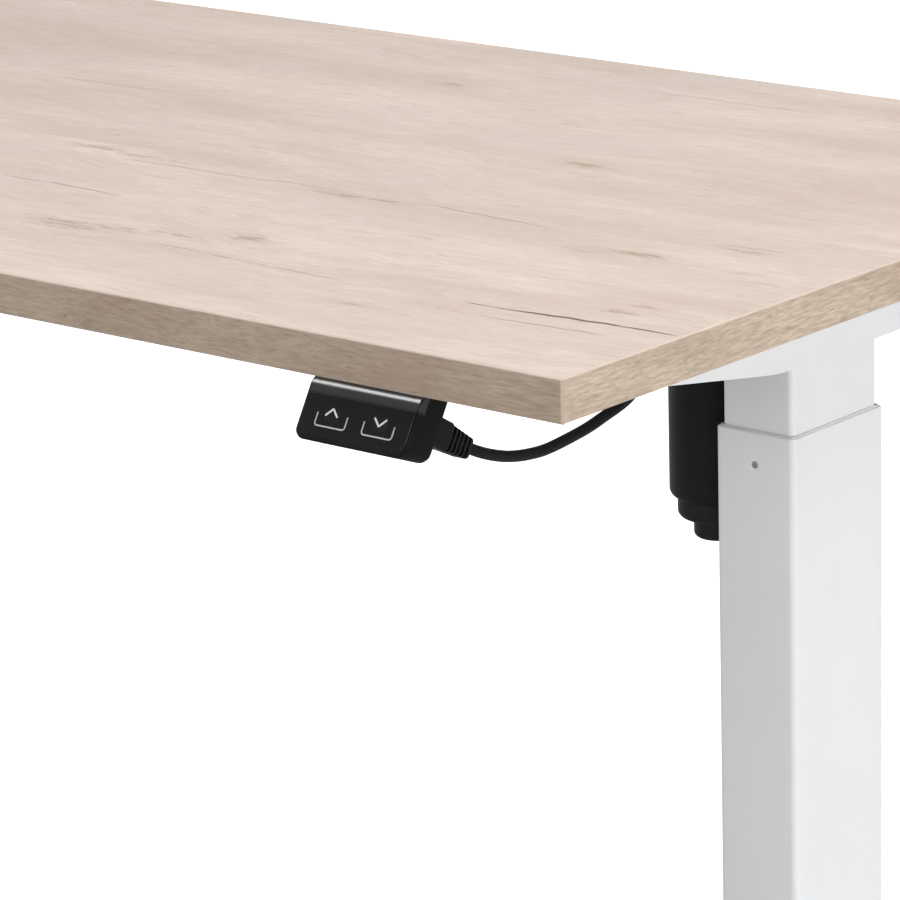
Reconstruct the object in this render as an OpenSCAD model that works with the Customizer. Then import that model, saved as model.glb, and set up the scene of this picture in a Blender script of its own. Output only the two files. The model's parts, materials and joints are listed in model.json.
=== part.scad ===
// Height adjustable standing desk: two lifting columns, one worktop, one handset.
// Millimetres, +Z up. Origin: middle of the footprint on the floor. Front is -Y.
// Each leg is drawn on the right (+X) side and mirrored for the left.

/* [Worktop] */
// Length of the worktop along X
top_w = 1200; // [1100:10:1600]
// Depth of the worktop along Y
top_d = 600; // [600:10:800]
// Thickness of the worktop
top_t = 22; // [18:1:30]
// Thickness of the edge band
band_t = 1.5; // [0.8:0.1:3]

/* [Height] */
// Height of the worktop's upper face at the lowest setting
rest_h = 722; // [700:1:900]
// Travel of the lifting columns
stroke = 480; // [300:10:480]

/* [Columns] */
// Gap from the worktop's side edge to the outer column
leg_inset = 55; // [40:1:120]
// Outer column, size along X
outer_x = 51; // [48:1:70]
// Outer column, size along Y
outer_y = 82; // [72:1:100]
// Wall of the outer column
outer_wall = 1.5; // [1.2:0.1:2.5]
// Gap between the two column tubes, taken up by the guides
tube_gap = 1.25; // [0.8:0.05:2]
// Wall of the inner column
inner_wall = 1.8; // [1.2:0.1:2.5]
// Length of inner column that shows at the lowest setting
inner_shown = 37; // [20:1:60]
// Corner radius of the outer column
column_r = 4; // [3:0.5:6]

/* [Side support] */
// Height of the side support at the column
support_h = 41.5; // [38:0.5:60]
// Distance from the worktop's edge to the support's tip
support_inset = 55; // [50:1:100]
// Sheet thickness of the side support
support_wall = 2.5; // [2:0.5:3]
// Height of the side support at its front tip
support_tip_h = 9.4; // [6:0.1:14]

/* [Motor] */
// Distance between the spindle and the motor shaft
motor_offset = 54; // [53:1:60]
// Radius of the motor body
motor_r = 26.5; // [20:0.5:27]
// Length of the motor body below the gearbox
motor_l = 90; // [60:1:120]

/* [Foot] */
// Length of the foot along Y
foot_l = 580; // [500:10:700]
// Width of the foot
foot_w = 60; // [50:1:80]
// Height of the foot beam
foot_h = 34; // [30:1:50]
// Height of a glide with its stud screwed right in
glide_h = 14; // [10:1:20]

/* [Handset] */
// Width of the handset
hand_w = 71; // [60:1:100]
// Height of the handset's face
hand_h = 29.8; // [26:0.1:40]
// Thickness of the handset
hand_t = 19.6; // [16:0.1:26]
// Backward lean of the face, in degrees
hand_tilt = 30.7; // [20:0.1:35]
// Distance from the worktop's right edge to the handset
hand_side = 97; // [97:1:200]

/* [Hidden] */
$fn = 48;

// Clearances
run_fit = 0.05;
slide_fit = 0.1;
gear_gap = 0.8;
shaft_gap = 1.5;
button_gap = 0.3;
eps = 0.01;

// Bolts and screws
bolt_r = 3;
bolt_head_r = 5;
bolt_head_h = 4;
bolt_tail = 3;
board_screw_r = 2.2;
screw_head_r = 4.2;
screw_head_h = 2.5;
board_bite = 14;
small_bite = 12;
clip_pin_r = 1.6;
clip_bite = 8;

// Heights, from the worktop down
under_z = rest_h - top_t;
support_z = under_z - support_h;
collar_z = support_z - inner_shown;
plate_z = under_z - support_wall;
foot_z = glide_h + foot_h;

// Columns
leg_x = top_w / 2 - leg_inset - outer_x / 2;
hollow_x = outer_x - 2 * outer_wall;
hollow_y = outer_y - 2 * outer_wall;
inner_x = hollow_x - 2 * tube_gap;
inner_y = hollow_y - 2 * tube_gap;
inner_r = column_r - 0.5;
head_t = 3;
base_t = 4;
shoe_drop = 4;
shoe_h = 44;
shoe_clear = 4;
inner_bottom = foot_z + base_t + shoe_drop + shoe_clear;
shoe_top = inner_bottom - shoe_drop + shoe_h;
liner_clear = 5;
liner_z = shoe_top + stroke + liner_clear;
liner_proud = 0.8;
rivet_drop = 17.5;
rivet_r = 2.7;
rivet_sunk = 0.4;
bolt_px = 13;
bolt_py = 26;

// Side support
flat_front = -49;
flat_back = 62;
tip_y = top_d / 2 - support_inset;
taper = (support_h - support_tip_h) / (tip_y + flat_front);
window_y = 27;
support_screw_y = [-210, -120, 120, 210];

// Spindle drive
spindle_r = 6;
gear_teeth = 20;
idler_teeth = 18;
pinion_teeth = 12;
gear_m = motor_offset / (gear_teeth / 2 + idler_teeth + pinion_teeth / 2);
gear_pr = gear_m * gear_teeth / 2;
idler_pr = gear_m * idler_teeth / 2;
pinion_pr = gear_m * pinion_teeth / 2;
tooth_add = 0.7 * gear_m;
tooth_ded = 1.15 * gear_m;
tip_half = 0.27 * gear_m;
root_half = (0.2 * PI + 0.38) * gear_m;
gear_lift = 13;
gear_z0 = support_z + gear_lift;
block_y = bolt_py + 8;
lobe_r = motor_r + 1.2;
thread_l = 12;
head_thread_l = 10;
gear_t = 18;
bearing_r = 11;
bearing_h = 8;
floor_t = 3;
pin_r = 4;
shaft_r = 3;
nut_tube_r = 11;
nut_r = 15;
nut_h = 35;
nut_tube_wall = 2;
nut_drop = 65;
nut_z = collar_z - nut_drop;
spindle_spare = 12;
spindle_z0 = nut_z - stroke - spindle_spare;

// Motor
cap_r = 22.2;
cap_l = 11.5;
tail_r = 13.6;
tail_l = 11.5;
motor_round = 5;
cap_round = 4;
tail_round = 3;
shaft_grip = 10;
socket_w = 12;
socket_d = 9;
socket_h = 9;
socket_lap = 4;

// Crossbeam rails
rail_w = 30;
rail_h = 35;
rail_wall = 2;
rail_y = 55;
rail_plate = 3;
rail_x = leg_x - inner_x / 2;
rail_bolt_drop = [11, 25];
rail_bolt_z = [for (drop = rail_bolt_drop) under_z - drop];
rail_screw_x = [-360, 0, 360];

// Foot
foot_wall = 2.5;
foot_drop = 6;
foot_flat = outer_y / 2 + 14;
glide_inset = 28;
glide_y = foot_l / 2 - glide_inset;
glide_r = 20;
glide_pad_h = 7;
glide_collar_r = 9;
stud_r = 4;
stud_l = 22;
lug_t = 6;
lug_w = 32;
lug_inset = 1;

// Control box
ctrl_x0 = -130;
ctrl_x1 = 110;
ctrl_y0 = -158;
ctrl_y1 = -74;
ctrl_h = 36;
cover_t = 3;
ctrl_wall = 2.2;
ctrl_z = under_z - ctrl_h;
ear_l = 20;
ear_w = 24;
ctrl_screw_x = [ctrl_x0 - ear_l / 2, ctrl_x1 + ear_l / 2];
ctrl_screw_y = ctrl_y0 + ear_w / 2;
panel_y0 = -152;
panel_y1 = -80;
panel_z0 = ctrl_z + 6;
panel_h = 20;
panel_t = 14;
panel_proud = 2;
panel_x1 = ctrl_x1 + panel_proud;
// Start and width of each socket's pocket along the panel
pockets = [[4, 12], [20, 12], [36, 18]];
pocket_z = 5;
pocket_h = 10;
pocket_l = 10;

// Handset, in its own frame: s runs back from the face, v runs up the face
hand_x1 = top_w / 2 - hand_side;
hand_xc = hand_x1 - hand_w / 2;
hand_back = 13.5;
hand_y = -top_d / 2 + hand_back;
hand_drop = 7;
hand_z = under_z - hand_drop;
hand_r = 6;
panel_s = 2.2;
rise_deg = 29;
base_tilt = 21.4;
face_inset = 1.5;
face_v0 = 3;
button_w = 9.2;
button_h = 10.3;
button_lift = 0.6;
button_deep = 1.6;
up_x = -15.2;
down_x = 15.2;
button_v = 16.1;
stem_r = 2;
flange_w = 44;
flange_d = 27;
flange_t = 3;
flange_y = hand_y + 20;
hand_screw_x = [-15, 15];
hand_screw_y = flange_y + 21;
plug_x = -9;
plug_v = 20.9;
plug_w = 15;
plug_block_l = 12;
plug_l = 33;
rib_count = 5;
rib_pitch = 4.2;
rib_gap = 1.6;
rib_w = 14;
rib_narrow = 0.7;
core_w = 7.6;

// Cable from the handset to the control box
cable_r = 3;
cable_route = [[494, -252, 663], [494, -238, 655.5], [494, -225, 650], [494, -210, 645.5],
    [494, -194, 643], [494, -178, 642.5], [494, -152, 645], [494, -136, 648],
    [493, -113, 653], [487, -97, 658], [475, -87, 664], [457, -81, 673], [437, -79, 683],
    [415, -80, 692], [390, -82, 696], [300, -82, 696], [210, -82, 696], [180, -83, 694],
    [160, -85, 688], [148, -88, 682], [138, -88, 680], [130, -88, 680]];
cable_step = 0.5;
cable_sides = 10;
clip_x = [385, 300, 215];
clip_y = -82;
clip_z = 696;
clip_w = 10;
clip_body = 9;
clip_tab_t = 1.6;
clip_tab_l = 12;
clip_pin_y = clip_y - 11;
clip_tab_y = clip_y - 15;
clip_head_r = 3;
clip_head_h = 2.4;
box_plug_y = -88;
box_plug_z = panel_z0 + 10;
box_plug_w = 12;
box_plug_l = 12;
box_plug_r = 4.5;

module rounded(w, d, r) {
    square([w - 2 * r, d], center = true);
    square([w, d - 2 * r], center = true);
    for (x = [-1, 1], y = [-1, 1])
        translate([x * (w / 2 - r), y * (d / 2 - r)]) circle(r);
}

// Places its children on the right leg (side = 1) or the left leg (side = -1)
module leg(side) {
    mirror([side < 0 ? 1 : 0, 0, 0]) translate([leg_x, 0, 0]) children();
}

// A round body turned about Z with a rounded lower edge, its top at z1
module turned(r, length, z1, round_r) {
    translate([0, 0, z1]) rotate_extrude() {
        translate([0, -length + round_r]) square([r, length - round_r]);
        translate([0, -length]) square([r - round_r, round_r + eps]);
        intersection() {
            translate([r - round_r, -length + round_r]) circle(round_r);
            translate([0, -length - eps]) square([r + 1, length + eps]);
        }
    }
}

// ---------- Worktop ----------

module pilot(x, y, r, bite) {
    translate([x, y, under_z - eps]) cylinder(r = r, h = bite + eps);
}

module screw_pilots() {
    for (side = [-1, 1], y = support_screw_y) pilot(side * leg_x, y, board_screw_r, board_bite);
    for (side = [-1, 1], x = rail_screw_x) pilot(x, side * rail_y, board_screw_r, board_bite);
    for (x = ctrl_screw_x) pilot(x, ctrl_screw_y, board_screw_r, small_bite);
    for (x = hand_screw_x) pilot(hand_xc + x, hand_screw_y, board_screw_r, small_bite);
    for (x = clip_x) pilot(x, clip_pin_y, clip_pin_r, clip_bite);
}

module tabletop_board() {
    color([0.89, 0.83, 0.78])
        difference() {
            translate([-top_w / 2 + band_t, -top_d / 2 + band_t, under_z])
                cube([top_w - 2 * band_t, top_d - 2 * band_t, top_t]);
            screw_pilots();
        }
}

module edge_band_long(side) {
    color([0.65, 0.57, 0.51])
        translate([-top_w / 2, side < 0 ? -top_d / 2 : top_d / 2 - band_t, under_z])
            cube([top_w, band_t, top_t]);
}

module edge_band_short(side) {
    color([0.76, 0.67, 0.61])
        translate([side < 0 ? -top_w / 2 : top_w / 2 - band_t, -top_d / 2 + band_t, under_z])
            cube([band_t, top_d - 2 * band_t, top_t]);
}

// ---------- Frame under the worktop ----------

// Side view of the support: deep at the column, tapering to both tips
module support_outline() {
    front_rise = (tip_y + flat_front) * taper;
    back_rise = (tip_y - flat_back) * taper;
    polygon([[-tip_y, under_z], [-tip_y, support_z + front_rise], [flat_front, support_z],
        [flat_back, support_z], [tip_y, support_z + back_rise], [tip_y, under_z]]);
}

module side_support() {
    color([0.93, 0.93, 0.93])
        difference() {
            translate([-inner_x / 2, 0, 0]) rotate([90, 0, 90])
                linear_extrude(inner_x) support_outline();
            translate([-inner_x / 2 + support_wall, -top_d / 2, support_z - 1])
                cube([inner_x - 2 * support_wall, top_d, plate_z - support_z + 1]);
            translate([-inner_x / 2 - 1, -window_y, support_z - 1])
                cube([support_wall + 2, 2 * window_y, plate_z - support_z + 1]);
            for (y = support_screw_y)
                translate([0, y, plate_z - 1]) cylinder(r = board_screw_r, h = support_wall + 2);
            for (x = [-1, 1], y = [-1, 1])
                translate([x * bolt_px, y * bolt_py, plate_z - 1])
                    cylinder(r = bolt_r, h = support_wall + 2);
            for (y = [-1, 1], z = rail_bolt_z)
                translate([-inner_x / 2 - 1, y * rail_y, z]) rotate([0, 90, 0])
                    cylinder(r = bolt_r, h = support_wall + 2);
        }
}

// Crossbeam rail, a C section with an end plate at each support
module rail(side) {
    color([0.93, 0.93, 0.93])
        translate([0, side * rail_y, under_z - rail_h])
            mirror([0, side < 0 ? 1 : 0, 0])
                difference() {
                    translate([-rail_x, -rail_w / 2, 0]) cube([2 * rail_x, rail_w, rail_h]);
                    translate([-rail_x + rail_plate, -rail_w / 2 - 1, rail_wall])
                        cube([2 * (rail_x - rail_plate), rail_w - rail_wall + 1,
                            rail_h - 2 * rail_wall]);
                    for (x = rail_screw_x)
                        translate([x, 0, rail_h - rail_wall - 1])
                            cylinder(r = board_screw_r, h = rail_wall + 2);
                    for (x = [-rail_x - 1, rail_x - rail_plate - 1], z = rail_bolt_z)
                        translate([x, 0, z - under_z + rail_h]) rotate([0, 90, 0])
                            cylinder(r = bolt_r, h = rail_plate + 2);
                }
}

module frame_bolts() {
    color([0.55, 0.55, 0.56])
        for (side = [-1, 1]) leg(side)
            for (y = [-1, 1], z = rail_bolt_z)
                translate([-inner_x / 2 + support_wall, y * rail_y, z]) {
                    rotate([0, 90, 0]) cylinder(r = bolt_head_r, h = bolt_head_h);
                    rotate([0, -90, 0])
                        cylinder(r = bolt_r, h = support_wall + rail_plate + bolt_tail);
                }
}

// Wood screw pointing up, its head under z
module wood_screw(z, length) {
    translate([0, 0, z - screw_head_h]) cylinder(r = screw_head_r, h = screw_head_h);
    translate([0, 0, z]) cylinder(r = board_screw_r, h = length);
}

module board_screws() {
    color([0.55, 0.55, 0.56]) {
        for (side = [-1, 1], y = support_screw_y)
            translate([side * leg_x, y, 0]) wood_screw(plate_z, support_wall + board_bite);
        for (side = [-1, 1], x = rail_screw_x)
            translate([x, side * rail_y, 0]) wood_screw(under_z - rail_wall, rail_wall + board_bite);
    }
}

// ---------- Gearbox and motor ----------

module gearbox_housing() {
    color([0.16, 0.16, 0.17])
        difference() {
            translate([0, 0, support_z]) linear_extrude(plate_z - support_z) {
                square([inner_x - 2 * support_wall, 2 * block_y], center = true);
                translate([-motor_offset, -window_y + 1])
                    square([motor_offset, 2 * window_y - 2]);
                translate([-motor_offset, 0]) circle(lobe_r);
            }
            translate([0, 0, gear_z0 - 1]) linear_extrude(plate_z - gear_z0 - 1) {
                circle(gear_pr + tooth_add + gear_gap);
                difference() {
                    translate([-gear_pr - idler_pr, 0]) circle(idler_pr + tooth_add + gear_gap);
                    translate([-gear_pr - idler_pr, 0]) circle(pin_r);
                }
                translate([-motor_offset, 0]) circle(pinion_pr + tooth_add + gear_gap);
            }
            translate([0, 0, support_z + floor_t]) cylinder(r = bearing_r, h = gear_z0 - support_z);
            translate([0, 0, support_z - 1]) cylinder(r = spindle_r + shaft_gap, h = floor_t + 2);
            translate([-motor_offset, 0, support_z - 1]) cylinder(r = shaft_r + shaft_gap, h = gear_z0);
            for (x = [-1, 1], y = [-1, 1]) {
                translate([x * bolt_px, y * bolt_py, plate_z - thread_l])
                    cylinder(r = bolt_r, h = thread_l + 1);
                translate([x * bolt_px, y * bolt_py, support_z - 1])
                    cylinder(r = bolt_r, h = head_thread_l + 1);
            }
        }
}

// Countersunk screws: four hold the gearbox to the support, four hold the column's head plate
module gearbox_screws() {
    color([0.55, 0.55, 0.56])
        for (side = [-1, 1]) leg(side)
            for (x = [-1, 1], y = [-1, 1])
                translate([x * bolt_px, y * bolt_py, plate_z - thread_l])
                    cylinder(r = bolt_r, h = thread_l + support_wall);
}

module column_head_screws() {
    color([0.55, 0.55, 0.56])
        for (side = [-1, 1]) leg(side)
            for (x = [-1, 1], y = [-1, 1])
                translate([x * bolt_px, y * bolt_py, support_z - head_t]) {
                    cylinder(r = bolt_r, h = head_t + head_thread_l);
                    translate([0, 0, -bolt_head_h]) cylinder(r = bolt_head_r, h = bolt_head_h);
                }
}

module motor_body() {
    color([0.12, 0.12, 0.13])
        translate([-motor_offset, 0, 0])
            difference() {
                turned(motor_r, motor_l, support_z, motor_round);
                translate([0, 0, support_z - shaft_grip - 2])
                    cylinder(r = shaft_r + run_fit, h = shaft_grip + 3);
            }
}

// Stepped end cap with the socket for the motor lead
module motor_end_cap() {
    color([0.1, 0.1, 0.11])
        translate([-motor_offset, 0, support_z - motor_l]) {
            turned(cap_r, cap_l, 0, cap_round);
            turned(tail_r, cap_l + tail_l, 0, tail_round);
            translate([-socket_w / 2, cap_r - socket_lap, -cap_l + 1])
                cube([socket_w, socket_d, socket_h]);
        }
}

// Straight-sided gear teeth with backlash; a tooth points along +X
module gear_outline(teeth) {
    pr = gear_m * teeth / 2;
    root = pr - tooth_ded;
    tip = pr + tooth_add;
    at_root = asin(root_half / root);
    at_tip = asin(tip_half / tip);
    polygon([for (i = [0 : teeth - 1], k = [[-at_root, root], [-at_tip, tip],
        [at_tip, tip], [at_root, root]])
            k[1] * [cos(360 * i / teeth + k[0]), sin(360 * i / teeth + k[0])]]);
}

module spindle_gear() {
    color([0.85, 0.85, 0.8])
        translate([0, 0, gear_z0])
            difference() {
                linear_extrude(gear_t) gear_outline(gear_teeth);
                translate([0, 0, -1]) cylinder(r = spindle_r, h = gear_t + 2);
            }
}

module idler_gear() {
    color([0.85, 0.85, 0.8])
        translate([-gear_pr - idler_pr, 0, gear_z0])
            difference() {
                rotate(180 / idler_teeth) linear_extrude(gear_t) gear_outline(idler_teeth);
                translate([0, 0, -1]) cylinder(r = pin_r + run_fit, h = gear_t + 2);
            }
}

module motor_pinion() {
    color([0.6, 0.6, 0.62])
        translate([-motor_offset, 0, 0]) {
            translate([0, 0, gear_z0]) linear_extrude(gear_t) gear_outline(pinion_teeth);
            translate([0, 0, support_z - shaft_grip])
                cylinder(r = shaft_r, h = gear_lift + shaft_grip + 1);
        }
}

module spindle_bearings() {
    color([0.7, 0.7, 0.72])
        for (side = [-1, 1]) leg(side)
            translate([0, 0, support_z + floor_t])
                difference() {
                    cylinder(r = bearing_r, h = bearing_h);
                    translate([0, 0, -1]) cylinder(r = spindle_r + run_fit, h = bearing_h + 2);
                }
}

module spindle() {
    color([0.68, 0.68, 0.7])
        translate([0, 0, spindle_z0]) cylinder(r = spindle_r, h = gear_z0 + gear_t - spindle_z0);
}

// ---------- Columns ----------

module inner_column() {
    color([0.94, 0.94, 0.94])
        difference() {
            translate([0, 0, inner_bottom]) linear_extrude(support_z - inner_bottom)
                rounded(inner_x, inner_y, inner_r);
            translate([0, 0, inner_bottom - 1])
                linear_extrude(support_z - head_t - inner_bottom + 1)
                    rounded(inner_x - 2 * inner_wall, inner_y - 2 * inner_wall,
                        inner_r - inner_wall);
            translate([0, 0, support_z - head_t - 1]) cylinder(r = spindle_r + 2 * shaft_gap, h = head_t + 2);
            for (x = [-1, 1], y = [-1, 1])
                translate([x * bolt_px, y * bolt_py, support_z - head_t - 1])
                    cylinder(r = bolt_r, h = head_t + 2);
        }
}

// Plastic shoe on the lower end of each inner column
module guide_shoes() {
    color([0.3, 0.3, 0.3])
        for (side = [-1, 1]) leg(side)
            difference() {
                translate([0, 0, inner_bottom - shoe_drop]) linear_extrude(shoe_h)
                    rounded(hollow_x - 2 * slide_fit, hollow_y - 2 * slide_fit, inner_r);
                translate([0, 0, inner_bottom]) linear_extrude(shoe_h)
                    rounded(inner_x, inner_y, inner_r);
                translate([0, 0, inner_bottom - shoe_drop - 1]) linear_extrude(shoe_h)
                    rounded(inner_x - 2 * inner_wall, inner_y - 2 * inner_wall,
                        inner_r - inner_wall);
            }
}

module outer_column() {
    color([0.94, 0.94, 0.94])
        difference() {
            translate([0, 0, foot_z]) linear_extrude(collar_z - foot_z)
                rounded(outer_x, outer_y, column_r);
            translate([0, 0, foot_z + base_t]) linear_extrude(collar_z - foot_z)
                rounded(hollow_x, hollow_y, column_r - outer_wall);
            translate([0, -outer_y / 2 - 1, collar_z - rivet_drop]) rotate([-90, 0, 0])
                cylinder(r = rivet_r, h = outer_y + 2);
            for (x = [-1, 1], y = [-1, 1])
                translate([x * bolt_px, y * bolt_py, foot_z - 1])
                    cylinder(r = bolt_r, h = base_t + 2);
        }
}

// Plastic liner that guides the inner column at the top of the outer one
module collar_liner() {
    color([0.75, 0.75, 0.75])
        difference() {
            translate([0, 0, liner_z]) linear_extrude(collar_z + liner_proud - liner_z)
                rounded(hollow_x, hollow_y, column_r - outer_wall);
            translate([0, 0, liner_z - 1]) linear_extrude(collar_z - liner_z + 4)
                rounded(inner_x + 2 * slide_fit, inner_y + 2 * slide_fit, inner_r);
        }
}

module liner_rivets() {
    color([0.5, 0.5, 0.5])
        for (turn = [0, 180]) rotate(turn)
            translate([0, -outer_y / 2 + rivet_sunk, collar_z - rivet_drop]) rotate([-90, 0, 0])
                cylinder(r = rivet_r, h = outer_wall - rivet_sunk);
}

// Tube on the base plate with the spindle nut pressed on its top
module nut_tube() {
    color([0.62, 0.62, 0.64])
        difference() {
            union() {
                translate([0, 0, foot_z + base_t])
                    cylinder(r = nut_tube_r, h = nut_z - foot_z - base_t);
                translate([0, 0, nut_z]) cylinder(r = nut_r, h = nut_h);
            }
            translate([0, 0, foot_z + base_t - 1])
                cylinder(r = nut_tube_r - nut_tube_wall, h = nut_z - foot_z - base_t + 1);
            translate([0, 0, nut_z - 1]) cylinder(r = spindle_r + run_fit, h = nut_h + 2);
        }
}

// ---------- Foot ----------

module foot_outline() {
    polygon([[-foot_l / 2, glide_h], [-foot_l / 2, foot_z - foot_drop], [-foot_flat, foot_z],
        [foot_flat, foot_z], [foot_l / 2, foot_z - foot_drop], [foot_l / 2, glide_h]]);
}

module foot() {
    color([0.94, 0.94, 0.94])
        difference() {
            union() {
                difference() {
                    translate([-foot_w / 2, 0, 0]) rotate([90, 0, 90])
                        linear_extrude(foot_w) foot_outline();
                    translate([-foot_w / 2 + foot_wall, -foot_l / 2 + foot_wall, glide_h - 1])
                        cube([foot_w - 2 * foot_wall, foot_l - 2 * foot_wall,
                            foot_h - foot_drop - foot_wall + 1]);
                }
                for (side = [-1, 1])
                    translate([-foot_w / 2 + lug_inset, side * glide_y - lug_w / 2, glide_h])
                        cube([foot_w - 2 * lug_inset, lug_w, lug_t]);
            }
            for (side = [-1, 1])
                translate([0, side * glide_y, glide_h - 1])
                    cylinder(r = stud_r + run_fit, h = lug_t + 2);
            for (x = [-1, 1], y = [-1, 1])
                translate([x * bolt_px, y * bolt_py, glide_h]) cylinder(r = bolt_r, h = foot_h + 1);
        }
}

module foot_bolts() {
    head_z = foot_z - foot_drop - foot_wall;
    color([0.55, 0.55, 0.56])
        for (x = [-1, 1], y = [-1, 1])
            translate([x * bolt_px, y * bolt_py, head_z]) {
                cylinder(r = bolt_r, h = foot_z + base_t + bolt_tail - head_z);
                translate([0, 0, -bolt_head_h]) cylinder(r = bolt_head_r, h = bolt_head_h);
            }
}

// Levelling glide: round pad, collar against the foot and threaded stud
module glide(side_y) {
    color([0.15, 0.15, 0.15])
        translate([0, side_y * glide_y, 0]) {
            cylinder(r = glide_r, h = glide_pad_h);
            cylinder(r = glide_collar_r, h = glide_h);
            cylinder(r = stud_r, h = glide_h + stud_l);
        }
}

// ---------- Control box ----------

module control_box_shell() {
    color([0.14, 0.14, 0.15])
        difference() {
            translate([ctrl_x0, ctrl_y0, ctrl_z])
                cube([ctrl_x1 - ctrl_x0, ctrl_y1 - ctrl_y0, ctrl_h - cover_t]);
            translate([ctrl_x0 + ctrl_wall, ctrl_y0 + ctrl_wall, ctrl_z + ctrl_wall])
                cube([ctrl_x1 - ctrl_x0 - 2 * ctrl_wall, ctrl_y1 - ctrl_y0 - 2 * ctrl_wall, ctrl_h]);
            translate([ctrl_x1 - ctrl_wall - 1, panel_y0, panel_z0])
                cube([ctrl_wall + 2, panel_y1 - panel_y0, panel_h]);
        }
}

module control_box_cover() {
    color([0.16, 0.16, 0.17]) {
        difference() {
            translate([ctrl_x0 - ear_l, ctrl_y0, under_z - cover_t])
                cube([ctrl_x1 - ctrl_x0 + 2 * ear_l, ear_w, cover_t]);
            for (x = ctrl_screw_x)
                translate([x, ctrl_screw_y, under_z - cover_t - 1])
                    cylinder(r = board_screw_r, h = cover_t + 2);
        }
        translate([ctrl_x0, ctrl_y0 + ear_w, under_z - cover_t])
            cube([ctrl_x1 - ctrl_x0, ctrl_y1 - ctrl_y0 - ear_w, cover_t]);
    }
}

// Sockets for two motor leads and the mains lead, beside the handset's plug
module socket_panel() {
    color([0.08, 0.08, 0.08])
        difference() {
            translate([panel_x1 - panel_t, panel_y0, panel_z0])
                cube([panel_t, panel_y1 - panel_y0, panel_h]);
            for (pocket = pockets)
                translate([panel_x1 - pocket_l, panel_y0 + pocket[0], panel_z0 + pocket_z])
                    cube([pocket_l + 1, pocket[1], pocket_h]);
        }
}

module control_box_screws() {
    color([0.55, 0.55, 0.56])
        for (x = ctrl_screw_x)
            translate([x, ctrl_screw_y, 0]) wood_screw(under_z - cover_t, cover_t + small_bite);
}

// ---------- Handset ----------

// Children are drawn with X right, Y up the face (v) and Z towards the face (-s)
module on_handset() {
    translate([hand_xc, hand_y, hand_z]) rotate([90 - hand_tilt, 0, 0])
        translate([0, -hand_h, 0]) children();
}

// Face outline with round lower corners, running up past the worktop's underside
module hand_outline(inset, v0, v1) {
    r = hand_r - inset / 2;
    w = hand_w - 2 * inset;
    translate([-w / 2, v0 + r]) square([w, v1 - v0 - r]);
    translate([-w / 2 + r, v0]) square([w - 2 * r, r + eps]);
    for (x = [-1, 1]) translate([x * (w / 2 - r), v0 + r]) circle(r);
}

module handset_shell() {
    color([0.1, 0.1, 0.11])
        difference() {
            union() {
                intersection() {
                    on_handset() rotate([hand_tilt - base_tilt, 0, 0])
                        translate([0, 0, -hand_t - 12]) linear_extrude(hand_t + 24)
                            hand_outline(0, 0, hand_h + 30);
                    on_handset() translate([-hand_w, -30, -hand_t])
                        cube([2 * hand_w, 120, hand_t]);
                }
                translate([hand_xc - flange_w / 2, flange_y, under_z - flange_t])
                    cube([flange_w, flange_d, flange_t]);
            }
            on_handset() translate([0, 0, -panel_s]) linear_extrude(panel_s + 1)
                hand_outline(face_inset, face_v0, hand_h - face_inset);
            for (x = [up_x, down_x])
                on_handset() translate([x, button_v, -panel_s - 3])
                    cylinder(r = stem_r, h = 4);
            translate([hand_xc - hand_w, hand_y - 60, under_z]) cube([2 * hand_w, 200, 60]);
            translate([hand_xc, hand_y, hand_z]) rotate([rise_deg, 0, 0])
                translate([-hand_w, -60, 0]) cube([2 * hand_w, 120, 60]);
            for (x = hand_screw_x)
                translate([hand_xc + x, hand_screw_y, under_z - flange_t - 1])
                    cylinder(r = board_screw_r, h = flange_t + 2);
        }
}

module button_outline(grow) {
    rounded(button_w + 2 * grow, button_h + 2 * grow, 2 + grow);
}

module handset_face() {
    color([0.12, 0.12, 0.13])
        on_handset()
            difference() {
                translate([0, 0, -panel_s]) linear_extrude(panel_s)
                    hand_outline(face_inset, face_v0, hand_h - face_inset);
                for (x = [up_x, down_x])
                    translate([x, button_v, -panel_s - 1]) linear_extrude(panel_s + 2)
                        button_outline(button_gap);
            }
}

// Sprung button, pushed in along the face's normal
module button(x) {
    color([0.16, 0.16, 0.17])
        on_handset() translate([x, button_v, -button_deep + button_lift])
            linear_extrude(button_deep) button_outline(0);
}

module handset_screws() {
    color([0.3, 0.3, 0.3])
        for (x = hand_screw_x)
            translate([hand_xc + x, hand_screw_y, 0])
                wood_screw(under_z - flange_t, flange_t + small_bite);
}

// Square block about the plug's axis, reaching back from distance s
module plug_slab(w, s, length) {
    translate([-w / 2, -w / 2, -s - length]) cube([w, w, length]);
}

// Moulded plug on the back of the handset, ribbed so that it can bend
module handset_plug() {
    color([0.09, 0.09, 0.1])
        on_handset() translate([hand_w / 2 + plug_x, plug_v, -hand_t]) {
            plug_slab(plug_w, 0, plug_block_l);
            for (i = [0 : rib_count - 1])
                plug_slab(rib_w - rib_narrow * i, plug_block_l + i * rib_pitch + rib_gap,
                    rib_pitch - rib_gap);
            plug_slab(core_w, plug_block_l - 2, plug_l - plug_block_l + 2);
        }
}

module control_box_plug() {
    color([0.09, 0.09, 0.1])
        translate([panel_x1, box_plug_y, box_plug_z]) rotate([0, 90, 0])
            difference() {
                union() {
                    translate([-box_plug_w / 2, -box_plug_w / 2, 0])
                        cube([box_plug_w, box_plug_w, box_plug_l]);
                    cylinder(r = box_plug_r, h = 2 * box_plug_l);
                }
                translate([0, 0, box_plug_l - 4]) cylinder(r = cable_r, h = 2 * box_plug_l);
            }
}

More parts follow.
